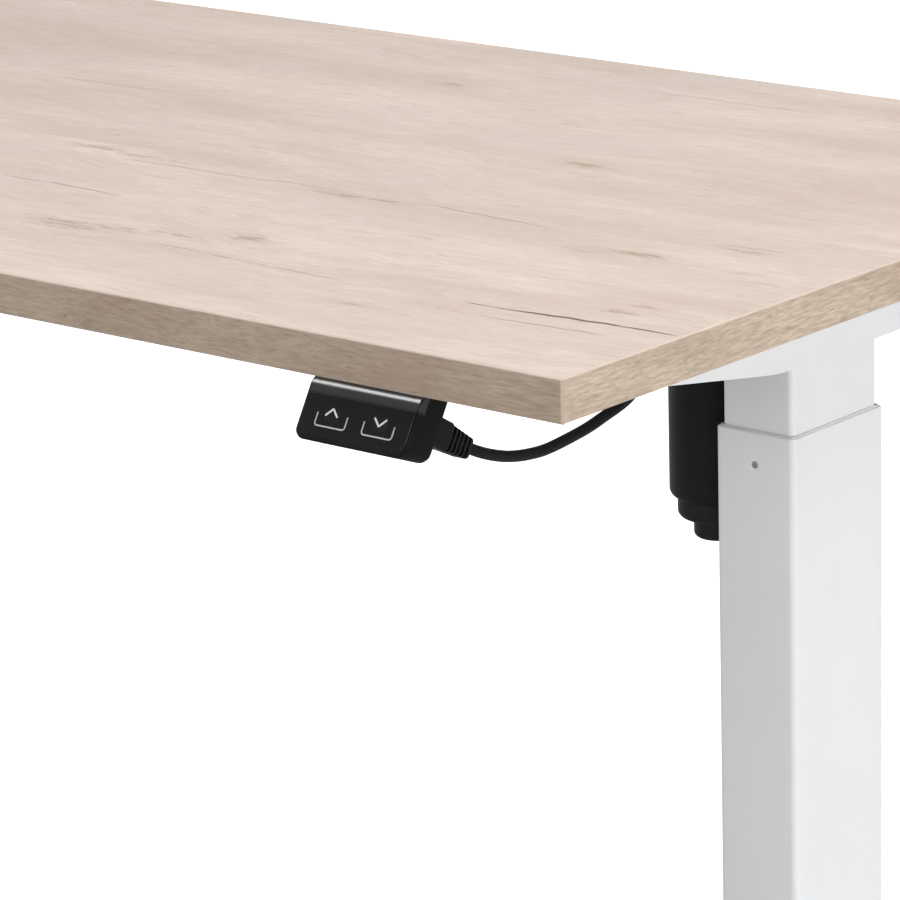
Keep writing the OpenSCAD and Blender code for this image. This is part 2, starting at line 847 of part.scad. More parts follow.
module cable_clips() {
    color([0.2, 0.2, 0.2])
        for (x = clip_x) {
            difference() {
                union() {
                    translate([x - clip_w / 2, clip_y - clip_body / 2, clip_z - clip_body / 2])
                        cube([clip_w, clip_body, under_z - clip_z + clip_body / 2]);
                    translate([x - clip_w / 2, clip_tab_y, under_z - clip_tab_t])
                        cube([clip_w, clip_tab_l, clip_tab_t]);
                }
                translate([x - clip_w / 2 - 1, clip_y, clip_z]) rotate([0, 90, 0])
                    cylinder(r = cable_r + run_fit, h = clip_w + 2);
            }
            translate([x, clip_pin_y, under_z - clip_tab_t - clip_head_h])
                cylinder(r = clip_head_r, h = clip_head_h);
            translate([x, clip_pin_y, under_z - clip_tab_t])
                cylinder(r = clip_pin_r, h = clip_tab_t + clip_bite);
        }
}

// Catmull-Rom curve through the route's points
function route_at(p, i, t) = let (
    a = p[max(i - 1, 0)], b = p[i], c = p[i + 1], d = p[min(i + 2, len(p) - 1)])
    0.5 * (2 * b + (c - a) * t + (2 * a - 5 * b + 4 * c - d) * t * t
        + (3 * b - a - 3 * c + d) * t * t * t);
function unit(v) = v / norm(v);
function ring(c, along, r, n) = let (
    s = unit(cross(along, [0, 0, 1])), u = cross(s, along))
    [for (k = [0 : n - 1]) c + r * (cos(360 * k / n) * s + sin(360 * k / n) * u)];

module tube(route, r, step, n) {
    line = concat([for (i = [0 : len(route) - 2], t = [0 : step : 0.999]) route_at(route, i, t)],
        [route[len(route) - 1]]);
    m = len(line);
    rings = [for (i = [0 : m - 1])
        ring(line[i], unit(line[min(i + 1, m - 1)] - line[max(i - 1, 0)]), r, n)];
    walls = [for (i = [0 : m - 2], k = [0 : n - 1])
        [i * n + k, i * n + (k + 1) % n, (i + 1) * n + (k + 1) % n, (i + 1) * n + k]];
    polyhedron([for (q = rings, v = q) v], concat(walls,
        [[for (k = [n - 1 : -1 : 0]) k], [for (k = [0 : n - 1]) (m - 1) * n + k]]));
}

module handset_cable() {
    color([0.08, 0.08, 0.08]) tube(cable_route, cable_r, cable_step, cable_sides);
}

tabletop_board();
edge_band_long(-1);  // edge_band_front
edge_band_long(1);  // edge_band_back
edge_band_short(-1);  // edge_band_left
edge_band_short(1);  // edge_band_right
leg(-1) side_support();  // side_support_left
leg(1) side_support();  // side_support_right
rail(-1);  // rail_front
rail(1);  // rail_rear
frame_bolts();
board_screws();
leg(-1) gearbox_housing();  // gearbox_housing_left
leg(1) gearbox_housing();  // gearbox_housing_right
gearbox_screws();
column_head_screws();
leg(-1) motor_body();  // motor_body_left
leg(1) motor_body();  // motor_body_right
leg(-1) motor_end_cap();  // motor_end_cap_left
leg(1) motor_end_cap();  // motor_end_cap_right
leg(-1) inner_column();  // inner_column_left
leg(1) inner_column();  // inner_column_right
guide_shoes();
spindle_bearings();
control_box_shell();
control_box_cover();
socket_panel();
control_box_screws();
handset_shell();
handset_face();
handset_screws();
handset_plug();
handset_cable();
control_box_plug();
cable_clips();
button(up_x);  // up_button
button(down_x);  // down_button
leg(-1) spindle();  // spindle_left
leg(1) spindle();  // spindle_right
leg(-1) spindle_gear();  // spindle_gear_left
leg(1) spindle_gear();  // spindle_gear_right
leg(-1) idler_gear();  // idler_gear_left
leg(1) idler_gear();  // idler_gear_right
leg(-1) motor_pinion();  // motor_pinion_left
leg(1) motor_pinion();  // motor_pinion_right
leg(-1) outer_column();  // outer_column_left
leg(1) outer_column();  // outer_column_right
leg(-1) collar_liner();  // collar_liner_left
leg(1) collar_liner();  // collar_liner_right
leg(-1) liner_rivets();  // liner_rivets_left
leg(1) liner_rivets();  // liner_rivets_right
leg(-1) nut_tube();  // nut_tube_left
leg(1) nut_tube();  // nut_tube_right
leg(-1) foot();  // foot_left
leg(1) foot();  // foot_right
leg(-1) foot_bolts();  // foot_bolts_left
leg(1) foot_bolts();  // foot_bolts_right
leg(-1) glide(-1);  // glide_front_left
leg(-1) glide(1);  // glide_rear_left
leg(1) glide(-1);  // glide_front_right
leg(1) glide(1);  // glide_rear_right
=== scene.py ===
"""Height adjustable standing desk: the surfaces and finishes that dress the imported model."""

import json
import math

import bpy
import numpy as np
from mathutils import Matrix, Vector


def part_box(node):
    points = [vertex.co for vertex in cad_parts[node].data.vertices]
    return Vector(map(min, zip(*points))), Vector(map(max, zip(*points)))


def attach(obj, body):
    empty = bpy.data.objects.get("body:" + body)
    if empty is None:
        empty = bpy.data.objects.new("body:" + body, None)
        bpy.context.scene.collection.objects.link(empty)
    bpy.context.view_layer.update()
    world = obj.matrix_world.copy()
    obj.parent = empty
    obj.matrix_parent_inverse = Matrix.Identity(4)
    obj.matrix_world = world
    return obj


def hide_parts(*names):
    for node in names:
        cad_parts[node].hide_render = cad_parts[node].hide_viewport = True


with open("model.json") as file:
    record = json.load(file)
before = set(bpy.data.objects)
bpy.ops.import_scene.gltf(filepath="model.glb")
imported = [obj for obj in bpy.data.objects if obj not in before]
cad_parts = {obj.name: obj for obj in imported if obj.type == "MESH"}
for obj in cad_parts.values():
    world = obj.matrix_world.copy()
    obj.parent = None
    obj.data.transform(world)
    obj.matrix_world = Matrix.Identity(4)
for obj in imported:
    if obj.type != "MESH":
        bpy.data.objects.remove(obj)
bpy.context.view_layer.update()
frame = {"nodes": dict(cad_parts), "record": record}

bl_info = {
    "name": "Standing Desk Finish",
    "version": (1, 0, 0),
    "blender": (4, 5, 0),
    "location": "View3D > Sidebar > Desk",
    "description": "Builds the visible surfaces and finishes of a height adjustable desk",
    "category": "Object",
}

MM = 0.001
# Edges that turn more than this stay sharp in the shading
CREASE = math.radians(32)
SIDES = {"right": 1, "left": -1}


def span(node):
    """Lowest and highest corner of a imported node, in millimetres."""
    low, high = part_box(node)
    return np.array(low) / MM, np.array(high) / MM


def linear(red, green, blue):
    """Linear light of a screen colour given as three values from 0 to 255."""
    share = np.array([red, green, blue]) / 255
    return tuple(np.where(share <= 0.04045, share / 12.92, ((share + 0.055) / 1.055) ** 2.4))


# ---------- Sizes taken from the frame, in millimetres ----------

BOARD_LOW, BOARD_HIGH = span("tabletop_board")
UNDER_Z, TOP_Z = BOARD_LOW[2], BOARD_HIGH[2]
INNER_LOW, INNER_HIGH = span("inner_column_right")
OUTER_LOW, OUTER_HIGH = span("outer_column_right")
LEG_X = (OUTER_LOW[0] + OUTER_HIGH[0]) / 2
SUPPORT_LOW, SUPPORT_HIGH = span("side_support_right")
MOTOR_LOW, MOTOR_HIGH = span("motor_body_right")
MOTOR_X = (MOTOR_LOW[0] + MOTOR_HIGH[0]) / 2
RIVET_Z = sum(span("liner_rivets_right"))[2] / 2

# Handset: its face leans back, x runs from its middle, v up its face and s in from it
LEAN = math.radians(30.7)
RISE = math.radians(29)
BASE = math.radians(21.4)
HAND_W = 71
HAND_H = 29.8
HAND_T = 19.6
HAND_R = 6
HAND_TOP = np.array([sum(span("handset_face"))[0] / 2, -286.5, UNDER_Z - 7])
FACE_UP = np.array([0, math.sin(LEAN), math.cos(LEAN)])
FACE_OUT = np.array([0, -math.cos(LEAN), math.sin(LEAN)])
PLUG_X = 26.5
PLUG_V = 20.9

# Cable from the handset to the control box
CABLE_DIAMETER = 6
CABLE_ROUTE = [
    (494, -252, 663), (494, -238, 655.5), (494, -225, 650), (494, -210, 645.5),
    (494, -194, 643), (494, -178, 642.5), (494, -152, 645), (494, -136, 648),
    (493, -113, 653), (487, -97, 658), (475, -87, 664), (457, -81, 673), (437, -79, 683),
    (415, -80, 692), (390, -82, 696), (300, -82, 696), (210, -82, 696), (180, -83, 694),
    (160, -85, 688), (148, -88, 682), (138, -88, 680), (130, -88, 680),
]


# ---------- Surfaces ----------

def shell(points, ring=False):
    """Closed surface through a grid of sections, each a closed loop of points.

    Neighbouring points make quads. The end sections are filled flat, unless the sections
    themselves run round in a ring. A negative signed volume, the sum of a . (b x c) / 6
    over its triangles, means that the faces point inwards, and then they are reversed.
    """
    rows, columns = points.shape[:2]
    i = np.arange(rows if ring else rows - 1)[:, None]
    j = np.arange(columns)[None, :]
    beside, above = (j + 1) % columns, (i + 1) % rows
    corners = [i * columns + j, i * columns + beside, above * columns + beside, above * columns + j]
    quads = np.stack(np.broadcast_arrays(*corners), -1).reshape(-1, 4)
    ends = [] if ring else [np.arange(columns)[::-1], (rows - 1) * columns + np.arange(columns)]
    places = points.reshape(-1, 3)
    fans = [np.stack([np.full(columns - 2, e[0]), e[1:-1], e[2:]], -1) for e in ends]
    a, b, c = places[np.concatenate([quads[:, [0, 1, 2]], quads[:, [0, 2, 3]], *fans]).T]
    volume = np.einsum("ij,ij->", a - places.mean(0), np.cross(b - a, c - a))
    order = 1 if volume > 0 else -1
    return places, [face[::order].tolist() for face in [*quads, *ends]]


def piece(name, shells, body, slot, finish=None, stands_for=()):
    """One object made of closed shells in millimetres, riding on a body, with its finish."""
    starts = np.cumsum([0] + [len(places) for places, _ in shells])
    faces = [[v + int(start) for v in face] for start, (_, found) in zip(starts, shells) for face in found]
    mesh = bpy.data.meshes.new(name)
    mesh.from_pydata((np.concatenate([places for places, _ in shells]) * MM).tolist(), [], faces)
    mesh.shade_smooth()
    mesh.set_sharp_from_angle(angle=CREASE)
    mesh.materials.append(finish or material_for(slot))
    made = bpy.data.objects.new(name, mesh)
    bpy.context.scene.collection.objects.link(made)
    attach(made, body)
    if stands_for:
        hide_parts(*stands_for)
    return made


def rounded_outline(corners, radii, steps=6):
    """Closed outline with arcs at its corners, as an array of points.

    With h half the angle between a corner's two sides, an arc of radius r touches them
    r / tan(h) from the corner, and its centre lies r / sin(h) along their bisector.
    """
    corners = np.asarray(corners, float)
    before = np.roll(corners, 1, 0) - corners
    after = np.roll(corners, -1, 0) - corners
    to_before = np.linalg.norm(before, axis=1, keepdims=True)
    to_after = np.linalg.norm(after, axis=1, keepdims=True)
    before, after = before / to_before, after / to_after
    half = np.arccos(np.clip((before * after).sum(1, keepdims=True), -1, 1)) / 2
    radii = np.broadcast_to(np.asarray(radii, float), len(corners))[:, None]
    reach = np.minimum(radii / np.tan(half), 0.49 * np.minimum(to_before, to_after))
    middle = before + after
    middle = middle / np.linalg.norm(middle, axis=1, keepdims=True)
    centre = (corners + middle * reach / np.cos(half))[:, None]
    start = (corners + before * reach)[:, None] - centre
    end = (corners + after * reach)[:, None] - centre
    turn = (math.pi - 2 * half)[:, None]
    t = np.linspace(0, 1, steps)[None, :, None]
    arcs = centre + (np.sin((1 - t) * turn) * start + np.sin(t * turn) * end) / np.sin(turn)
    return arcs.reshape(-1, corners.shape[1])


def bent_line(points, radius, steps=5):
    """Open line whose inner corners are arcs."""
    arcs = rounded_outline(points, radius, steps).reshape(len(points), steps, -1)
    return np.concatenate([[points[0]], *arcs[1:-1], [points[-1]]])


def block(low, high, axis=2, side_r=1.0, end_r=0.5, steps=5):
    """Sections of a box, a rectangle with arc corners carried along one axis.

    Near each end the rectangle draws in along a quarter circle: at an angle a its inset
    is r (1 - sin a) and its distance from the end r (1 - cos a).
    """
    low, high = np.asarray(low, float), np.asarray(high, float)
    u, v = (axis + 1) % 3, (axis + 2) % 3
    turn = np.linspace(0, math.pi / 2, steps)
    inset = end_r * (1 - np.sin(turn))
    depth = end_r * (1 - np.cos(turn))
    stations = np.concatenate([low[axis] + depth, (high[axis] - depth)[::-1]])
    sections = []
    for station, i in zip(stations, np.concatenate([inset, inset[::-1]])):
        corners = [
            (low[u] + i, low[v] + i), (high[u] - i, low[v] + i),
            (high[u] - i, high[v] - i), (low[u] + i, high[v] - i),
        ]
        flat = rounded_outline(corners, np.maximum(np.asarray(side_r) - i, 0.02), steps)
        section = np.empty((len(flat), 3))
        section[:, axis] = station
        section[:, u], section[:, v] = flat.T
        sections.append(section)
    return np.array(sections)


def turned(profile, centre, around=64, axis=2):
    """Sections of a body turned about an axis: radius and height of each profile point."""
    angle = np.linspace(0, 2 * math.pi, around, endpoint=False)
    profile = np.asarray(profile, float)
    points = np.empty((len(profile), around, 3))
    points[..., (axis + 1) % 3] = profile[:, :1] * np.cos(angle)
    points[..., (axis + 2) % 3] = profile[:, :1] * np.sin(angle)
    points[..., axis] = profile[:, 1:]
    return points + np.asarray(centre, float)


def column_loop(width, depth, radius, face_x=(), steps=9):
    """Rounded rectangle about the origin, with extra points at face_x on its front and back."""
    x, y = width / 2 - radius, depth / 2 - radius
    turn = np.linspace(0, math.pi / 2, steps)[None, :, None] + np.arange(4)[:, None, None] * math.pi / 2
    centres = np.array([[x, y], [-x, y], [-x, -y], [x, -y]])[:, None]
    arcs = centres + radius * np.concatenate([np.cos(turn), np.sin(turn)], -1)
    front = np.stack([np.asarray(face_x, float), np.full(len(face_x), -depth / 2)], -1)
    back = -front
    return np.concatenate([arcs[0], back, arcs[1], arcs[2], front, arcs[3]])


def column_tube(low, high, wall, radius, rim, dimple_z=None):
    """Sections of a rectangular tube: up its outside, over its rim and down its inside.

    Round each rivet the outer wall sinks by depth (1 - (d / r)^2)^2, where d is the
    distance from the rivet and r the dimple's radius.
    """
    dimple_r, dimple_depth = 4.2, 0.7
    fine = np.linspace(-dimple_r, dimple_r, 15)
    size = np.asarray(high[:2]) - np.asarray(low[:2])
    centre = (np.asarray(high[:2]) + np.asarray(low[:2])) / 2
    path = rounded_outline([(0, low[2]), (0, high[2]), (wall, high[2]), (wall, low[2])], rim, 7)
    if dimple_z is not None:
        first_rim = np.argmax(path[:, 1] > high[2] - 3)
        rise = np.stack([np.zeros(len(fine)), dimple_z + fine], -1)
        path = np.concatenate([path[:first_rim], rise, path[first_rim:]])
    face_x = fine if dimple_z is not None else ()
    loops = [column_loop(*(size - 2 * inset), radius - inset, face_x) for inset, _ in path]
    points = np.empty((len(path), len(loops[0]), 3))
    points[..., :2] = loops
    points[..., 2] = path[:, 1:]
    if dimple_z is not None:
        reach = np.hypot(points[..., 0], points[..., 2] - dimple_z) / dimple_r
        on_face = np.abs(points[..., 1]) > size[1] / 2 - 0.01
        sink = dimple_depth * np.where(on_face, np.clip(1 - reach**2, 0, 1) ** 2, 0)
        points[..., 1] -= np.sign(points[..., 1]) * sink
    points[..., :2] += centre
    return points


def channel(stations, top_z, low_z, half_width, wall, plate, bend):
    """Sections of an open-bottomed channel along Y: a U whose heights follow two formulas.

    low_z gives the lower edge of the left and of the right wall at each station.
    """
    sections = []
    for y, top, (left, right) in zip(stations, top_z, low_z):
        corners = [
            (-half_width, left), (-half_width, top), (half_width, top), (half_width, right),
            (half_width - wall, right), (half_width - wall, top - plate),
            (wall - half_width, top - plate), (wall - half_width, left),
        ]
        flat = rounded_outline(corners, [0.12, bend, bend, 0.12, 0.12, 0.8, 0.8, 0.12], 5)
        sections.append(np.stack([flat[:, 0], np.full(len(flat), y), flat[:, 1]], -1))
    return np.array(sections)


def smooth_line(route, steps):
    """Catmull-Rom curve through the route's points, with steps points in each stretch."""
    p = np.asarray(route, float)
    a, b, c = np.concatenate([p[:1], p[:-2]]), p[:-1], p[1:]
    d = np.concatenate([p[2:], p[-1:]])
    t = np.linspace(0, 1, steps, endpoint=False)[None, :, None]
    a, b, c, d = (q[:, None] for q in (a, b, c, d))
    line = 0.5 * (
        2 * b + (c - a) * t + (2 * a - 5 * b + 4 * c - d) * t**2 + (3 * b - a - 3 * c + d) * t**3
    )
    return np.concatenate([line.reshape(-1, 3), p[-1:]])


def tube(line, radius, around=20):
    """Round tube along a line: each ring stands square to the line's direction."""
    along = np.gradient(line, axis=0)
    along /= np.linalg.norm(along, axis=1, keepdims=True)
    aside = np.cross(along, (0, 0, 1))
    aside /= np.linalg.norm(aside, axis=1, keepdims=True)
    upward = np.cross(aside, along)
    angle = np.linspace(0, 2 * math.pi, around, endpoint=False)[None, :, None]
    ring = np.cos(angle) * aside[:, None] + np.sin(angle) * upward[:, None]
    return line[:, None] + radius * ring


def ribbon(path, width, low, high):
    """Sections of a flat strip along a line in a plane, each square to the line's run."""
    along = np.gradient(path, axis=0)
    along /= np.linalg.norm(along, axis=1, keepdims=True)
    aside = np.stack([-along[:, 1], along[:, 0]], -1) * width / 2
    left, right = path + aside, path - aside
    flat = np.stack([left, left, right, right], 1)
    heights = np.broadcast_to(np.array([low, high, high, low])[None, :, None], (*flat.shape[:2], 1))
    return np.concatenate([flat, heights], -1)


def on_face(points):
    """Carries points given as x, v and height above the face to the handset's place."""
    x, v, out = points[..., :1], points[..., 1:2], points[..., 2:]
    return HAND_TOP + x * np.array([1, 0, 0]) + (v - HAND_H) * FACE_UP + out * FACE_OUT


def mirrored(points, side):
    """The right leg's points, or their mirror image on the left leg."""
    return points * np.array([side, 1, 1])


def smooth_step(value, low, high):
    """0 below low and 1 above high, with the curve 3t^2 - 2t^3 between."""
    t = np.clip((value - low) / (high - low), 0, 1)
    return t * t * (3 - 2 * t)


def cross_head(centre, radius, height, axis, sign):
    """Sections of a domed screw head with a cross recess, looking along an axis.

    The dome's height is h (1 - 0.6 (r / R)^4), and within the cross's arms it sinks by 0.75 h.
    """
    around, rings = 48, 14
    angle = np.linspace(0, 2 * math.pi, around, endpoint=False)[None, :]
    share = np.linspace(1, 0.02, rings)[:, None]
    u, v = share * np.cos(angle), share * np.sin(angle)
    narrow = np.minimum(np.abs(u), np.abs(v))
    arms = (1 - smooth_step(narrow, 0.1, 0.2)) * (1 - smooth_step(np.hypot(u, v), 0.55, 0.68))
    lift = height * (1 - 0.6 * share**4) - 0.75 * height * arms
    points = np.empty((rings + 1, around, 3))
    points[1:, :, (axis + 1) % 3], points[1:, :, (axis + 2) % 3] = radius * u, radius * v
    points[1:, :, axis] = sign * lift
    points[0] = points[1]
    points[0, :, axis] = 0
    return points + np.asarray(centre, float)


# ---------- Shader building ----------

class Graph:
    """Adds nodes to a shader tree and links them, one call a node."""

    def __init__(self, tree):
        self.tree = tree

    def add(self, kind, inputs=(), **settings):
        """A new node with its settings, and its inputs linked or set."""
        node = self.tree.nodes.new(kind)
        for name, value in settings.items():
            setattr(node, name, value)
        for key, value in dict(inputs).items():
            if isinstance(value, bpy.types.NodeSocket):
                self.link(value, node, key)
            else:
                node.inputs[key].default_value = value
        return node

    def link(self, value, node, name):
        """Links a value to a node's input."""
        self.tree.links.new(value, node.inputs[name])

    def calc(self, operation, a, b=0.0):
        """One Math node."""
        return self.add("ShaderNodeMath", {0: a, 1: b}, operation=operation).outputs[0]

    def times(self, a, b):
        """The product of two values."""
        return self.calc("MULTIPLY", a, b)

    def plus(self, a, b):
        """The sum of two values."""
        return self.calc("ADD", a, b)

    def square_of_share(self, value, whole):
        """How far a value is along a whole, squared."""
        return self.calc("POWER", self.calc("ABSOLUTE", self.calc("DIVIDE", value, whole)), 2.0)

    def vector_sum(self, a, b):
        """The sum of two vectors."""
        return self.add("ShaderNodeVectorMath", {0: a, 1: b}, operation="ADD").outputs[0]

    def spread(self, value, low, high, to_low=0.0, to_high=1.0):
        """A value carried smoothly from one range to another."""
        inputs = {"Value": value, "From Min": low, "From Max": high, "To Min": to_low, "To Max": to_high}
        return self.add("ShaderNodeMapRange", inputs, interpolation_type="SMOOTHSTEP").outputs[0]

    def mix(self, share, a, b):
        """Colour a mixed with colour b."""
        return self.add("ShaderNodeMix", {0: share, 6: a, 7: b}, data_type="RGBA").outputs[2]

    def noise(self, vector, scale, detail=2.0, rough=0.5):
        """Noise value from 0 to 1."""
        inputs = {"Vector": vector, "Scale": scale, "Detail": detail, "Roughness": rough}
        return self.add("ShaderNodeTexNoise", inputs).outputs[0]

    def stretch(self, vector, scale, turn=0.0):
        """The vector turned about Z and scaled."""
        inputs = {"Vector": vector, "Scale": scale, "Rotation": (0, 0, turn)}
        return self.add("ShaderNodeMapping", inputs).outputs[0]

    def place(self, tree, inputs):
        """A shader group's node, with its tree set before its inputs."""
        return self.add("ShaderNodeGroup", inputs, node_tree=tree)


SOCKETS = {"vector": "NodeSocketVector", "value": "NodeSocketFloat", "colour": "NodeSocketColor"}


def shader_group(name, inputs, outputs):
    """A new group with named sockets, as its graph, its input node and its output node."""
    tree = bpy.data.node_groups.new(name, "ShaderNodeTree")
    for label, kind in inputs.items():
        tree.interface.new_socket(name=label, in_out="INPUT", socket_type=SOCKETS[kind])
    for label, kind in outputs.items():
        tree.interface.new_socket(name=label, in_out="OUTPUT", socket_type=SOCKETS[kind])
    graph = Graph(tree)
    return graph, graph.add("NodeGroupInput"), graph.add("NodeGroupOutput")


def grain_group():
    """Fine moulded or sprayed texture: two sizes of bumps, and soft marks from handling."""
    if "surface_grain" in bpy.data.node_groups:
        return bpy.data.node_groups["surface_grain"]
    inputs = {"Vector": "vector", "Scale": "value"}
    g, given, out = shader_group("surface_grain", inputs, {"Height": "value", "Marks": "value"})
    fine = g.noise(given.outputs["Vector"], given.outputs["Scale"], 2.0)
    wide = g.noise(given.outputs["Vector"], g.times(given.outputs["Scale"], 0.31), 1.0)
    g.link(g.plus(fine, wide), out, "Height")
    marks = g.noise(given.outputs["Vector"], 14.0, 4.0, 0.6)
    g.link(g.spread(marks, 0.35, 0.7), out, "Marks")
    return g.tree


def figure_group():
    """Printed oak with its grain along X: slow bands, short streaks, fine fibres and dark pores."""
    if "oak_figure" in bpy.data.node_groups:
        return bpy.data.node_groups["oak_figure"]
    # Each layer's stretch along and across the grain, its detail, roughness and contrast
    layers = {
        "Bands": (5, 27, 5.0, 0.62, 0.3, 0.7), "Streaks": (26, 190, 5.0, 0.66, 0.54, 0.76),
        "Fibres": (60, 560, 3.0, 0.65, 0.25, 0.75), "Pores": (70, 900, 2.0, 0.5, 0.6, 0.72),
    }
    outputs = {name: "value" for name in layers}
    g, given, out = shader_group("oak_figure", {"Vector": "vector", "Size": "value"}, outputs)
    inputs = {0: given.outputs["Vector"], "Scale": given.outputs["Size"]}
    sized = g.add("ShaderNodeVectorMath", inputs, operation="SCALE").outputs[0]
    waver = g.noise(g.stretch(sized, (5, 16, 16)), 1.0, 2.0)
    shift = g.add("ShaderNodeCombineXYZ", {1: g.spread(waver, 0.2, 0.8, -0.011, 0.011)}).outputs[0]
    bent = g.vector_sum(sized, shift)
    for name, (along, across, detail, rough, low, high) in layers.items():
        layer = g.noise(g.stretch(bent, (along, across, across)), 1.0, detail, rough)
        g.link(g.spread(layer, low, high), out, name)
    return g.tree


def knot_group():
    """One knot: dark flecks at its heart, a soft halo, and how far it pushes the grain aside."""
    inputs = {"Vector": "vector", "X": "value", "Y": "value", "Long": "value", "Wide": "value"}
    outputs = {"Heart": "value", "Halo": "value", "Push": "value"}
    g, given, out = shader_group("oak_knot", inputs, outputs)
    where = given.outputs["Vector"]
    place = g.add("ShaderNodeSeparateXYZ", {0: where})
    dx = g.calc("SUBTRACT", place.outputs[0], given.outputs["X"])
    dy = g.calc("SUBTRACT", place.outputs[1], given.outputs["Y"])
    far = g.plus(g.square_of_share(dx, given.outputs["Long"]), g.square_of_share(dy, given.outputs["Wide"]))
    flecks = g.noise(g.stretch(where, (70, 330, 70)), 1.0, 4.0, 0.7)
    ragged = g.plus(far, g.spread(flecks, 0.3, 0.7, 1.3, -0.7))
    g.link(g.spread(ragged, 0.0, 1.1, 1.0, 0.0), out, "Heart")
    clouds = g.noise(g.stretch(where, (26, 90, 26)), 1.0, 3.0, 0.6)
    g.link(g.times(g.calc("EXPONENT", g.times(far, -0.3)), g.spread(clouds, 0.35, 0.65)), out, "Halo")
    g.link(g.times(g.times(dy, g.calc("EXPONENT", g.times(far, -0.16))), -0.7), out, "Push")
    return g.tree


def crack_group():
    """One thin drying crack: a line that leans a little from the grain and tapers to its ends."""
    labels = ("X", "Y", "Half", "Wide", "Lean")
    inputs = {"Vector": "vector", **{label: "value" for label in labels}}
    g, given, out = shader_group("oak_crack", inputs, {"Dark": "value"})
    where = given.outputs["Vector"]
    place = g.add("ShaderNodeSeparateXYZ", {0: where})
    dx = g.calc("SUBTRACT", place.outputs[0], given.outputs["X"])
    share = g.square_of_share(dx, given.outputs["Half"])
    taper = g.calc("SQRT", g.calc("MAXIMUM", g.calc("SUBTRACT", 1.0, share), 0.0))
    wander = g.noise(g.stretch(where, (13, 0, 0)), 1.0, 4.0, 0.55)
    lean = g.plus(g.times(dx, given.outputs["Lean"]), given.outputs["Y"])
    line = g.plus(lean, g.spread(wander, 0.2, 0.8, -0.0028, 0.0028))
    off = g.calc("ABSOLUTE", g.calc("SUBTRACT", place.outputs[1], line))
    half = g.calc("MAXIMUM", g.times(taper, given.outputs["Wide"]), 0.00001)
    broken = g.noise(g.stretch(where, (45, 30, 0)), 1.0, 2.0)
    inside = g.spread(g.calc("DIVIDE", off, half), 0.3, 1.3, 1.0, 0.0)
    dark = g.times(inside, g.spread(taper, 0.0, 0.5))
    g.link(g.times(dark, g.spread(broken, 0.25, 0.5, 0.45, 1.0)), out, "Dark")
    return g.tree


def new_finish(name):
    """A new material, as its graph, its object coordinates and its Principled shader."""
    made = bpy.data.materials.new(name)
    made.use_nodes = True
    graph = Graph(made.node_tree)
    shader = made.node_tree.nodes["Principled BSDF"]
    return made, graph, graph.add("ShaderNodeTexCoord").outputs["Object"], shader


def bump(graph, shader, height, strength, distance):
    """Gives the shader a normal from a height."""
    inputs = {"Height": height, "Strength": strength, "Distance": distance}
    graph.link(graph.add("ShaderNodeBump", inputs).outputs[0], shader, "Normal")


def coated(name, colour, worn, rough, scale, depth, specular=0.5, metal=0.0):
    """A sprayed, moulded or plated finish: a colour with soft marks over fine grain."""
    made, g, where, shader = new_finish(name)
    grain = g.place(grain_group(), {"Vector": where, "Scale": scale})
    marks = grain.outputs["Marks"]
    g.link(g.mix(marks, (*colour, 1), (*worn, 1)), shader, "Base Color")
    g.link(g.spread(marks, 0.0, 1.0, rough[0], rough[1]), shader, "Roughness")
    shader.inputs["Specular IOR Level"].default_value = specular
    shader.inputs["Metallic"].default_value = metal
    bump(g, shader, grain.outputs["Height"], 0.35, depth)
    return made


def handset_plastic(name, look):
    """Black moulded plastic: matt at the sides, and polished along the upper front edge."""
    made = coated(name, look.handset, linear(25, 25, 27), (0.34, 0.44), 2600, 0.00002, 0.08)
    g = Graph(made.node_tree)
    where = g.add("ShaderNodeTexCoord").outputs["Object"]
    inputs = {0: where, 1: tuple(HAND_TOP * MM)}
    from_edge = g.add("ShaderNodeVectorMath", inputs, operation="SUBTRACT").outputs[0]
    out, up = (
        g.add("ShaderNodeVectorMath", {0: from_edge, 1: tuple(way)}, operation="DOT_PRODUCT")
        .outputs["Value"] for way in (FACE_OUT, FACE_UP)
    )
    shader = made.node_tree.nodes["Principled BSDF"]
    polished = g.times(g.spread(out, -6 * MM, -4.5 * MM), g.spread(up, -7 * MM, -4 * MM))
    g.link(polished, shader, "Coat Weight")
    shader.inputs["Coat Roughness"].default_value = 0.22
    return made


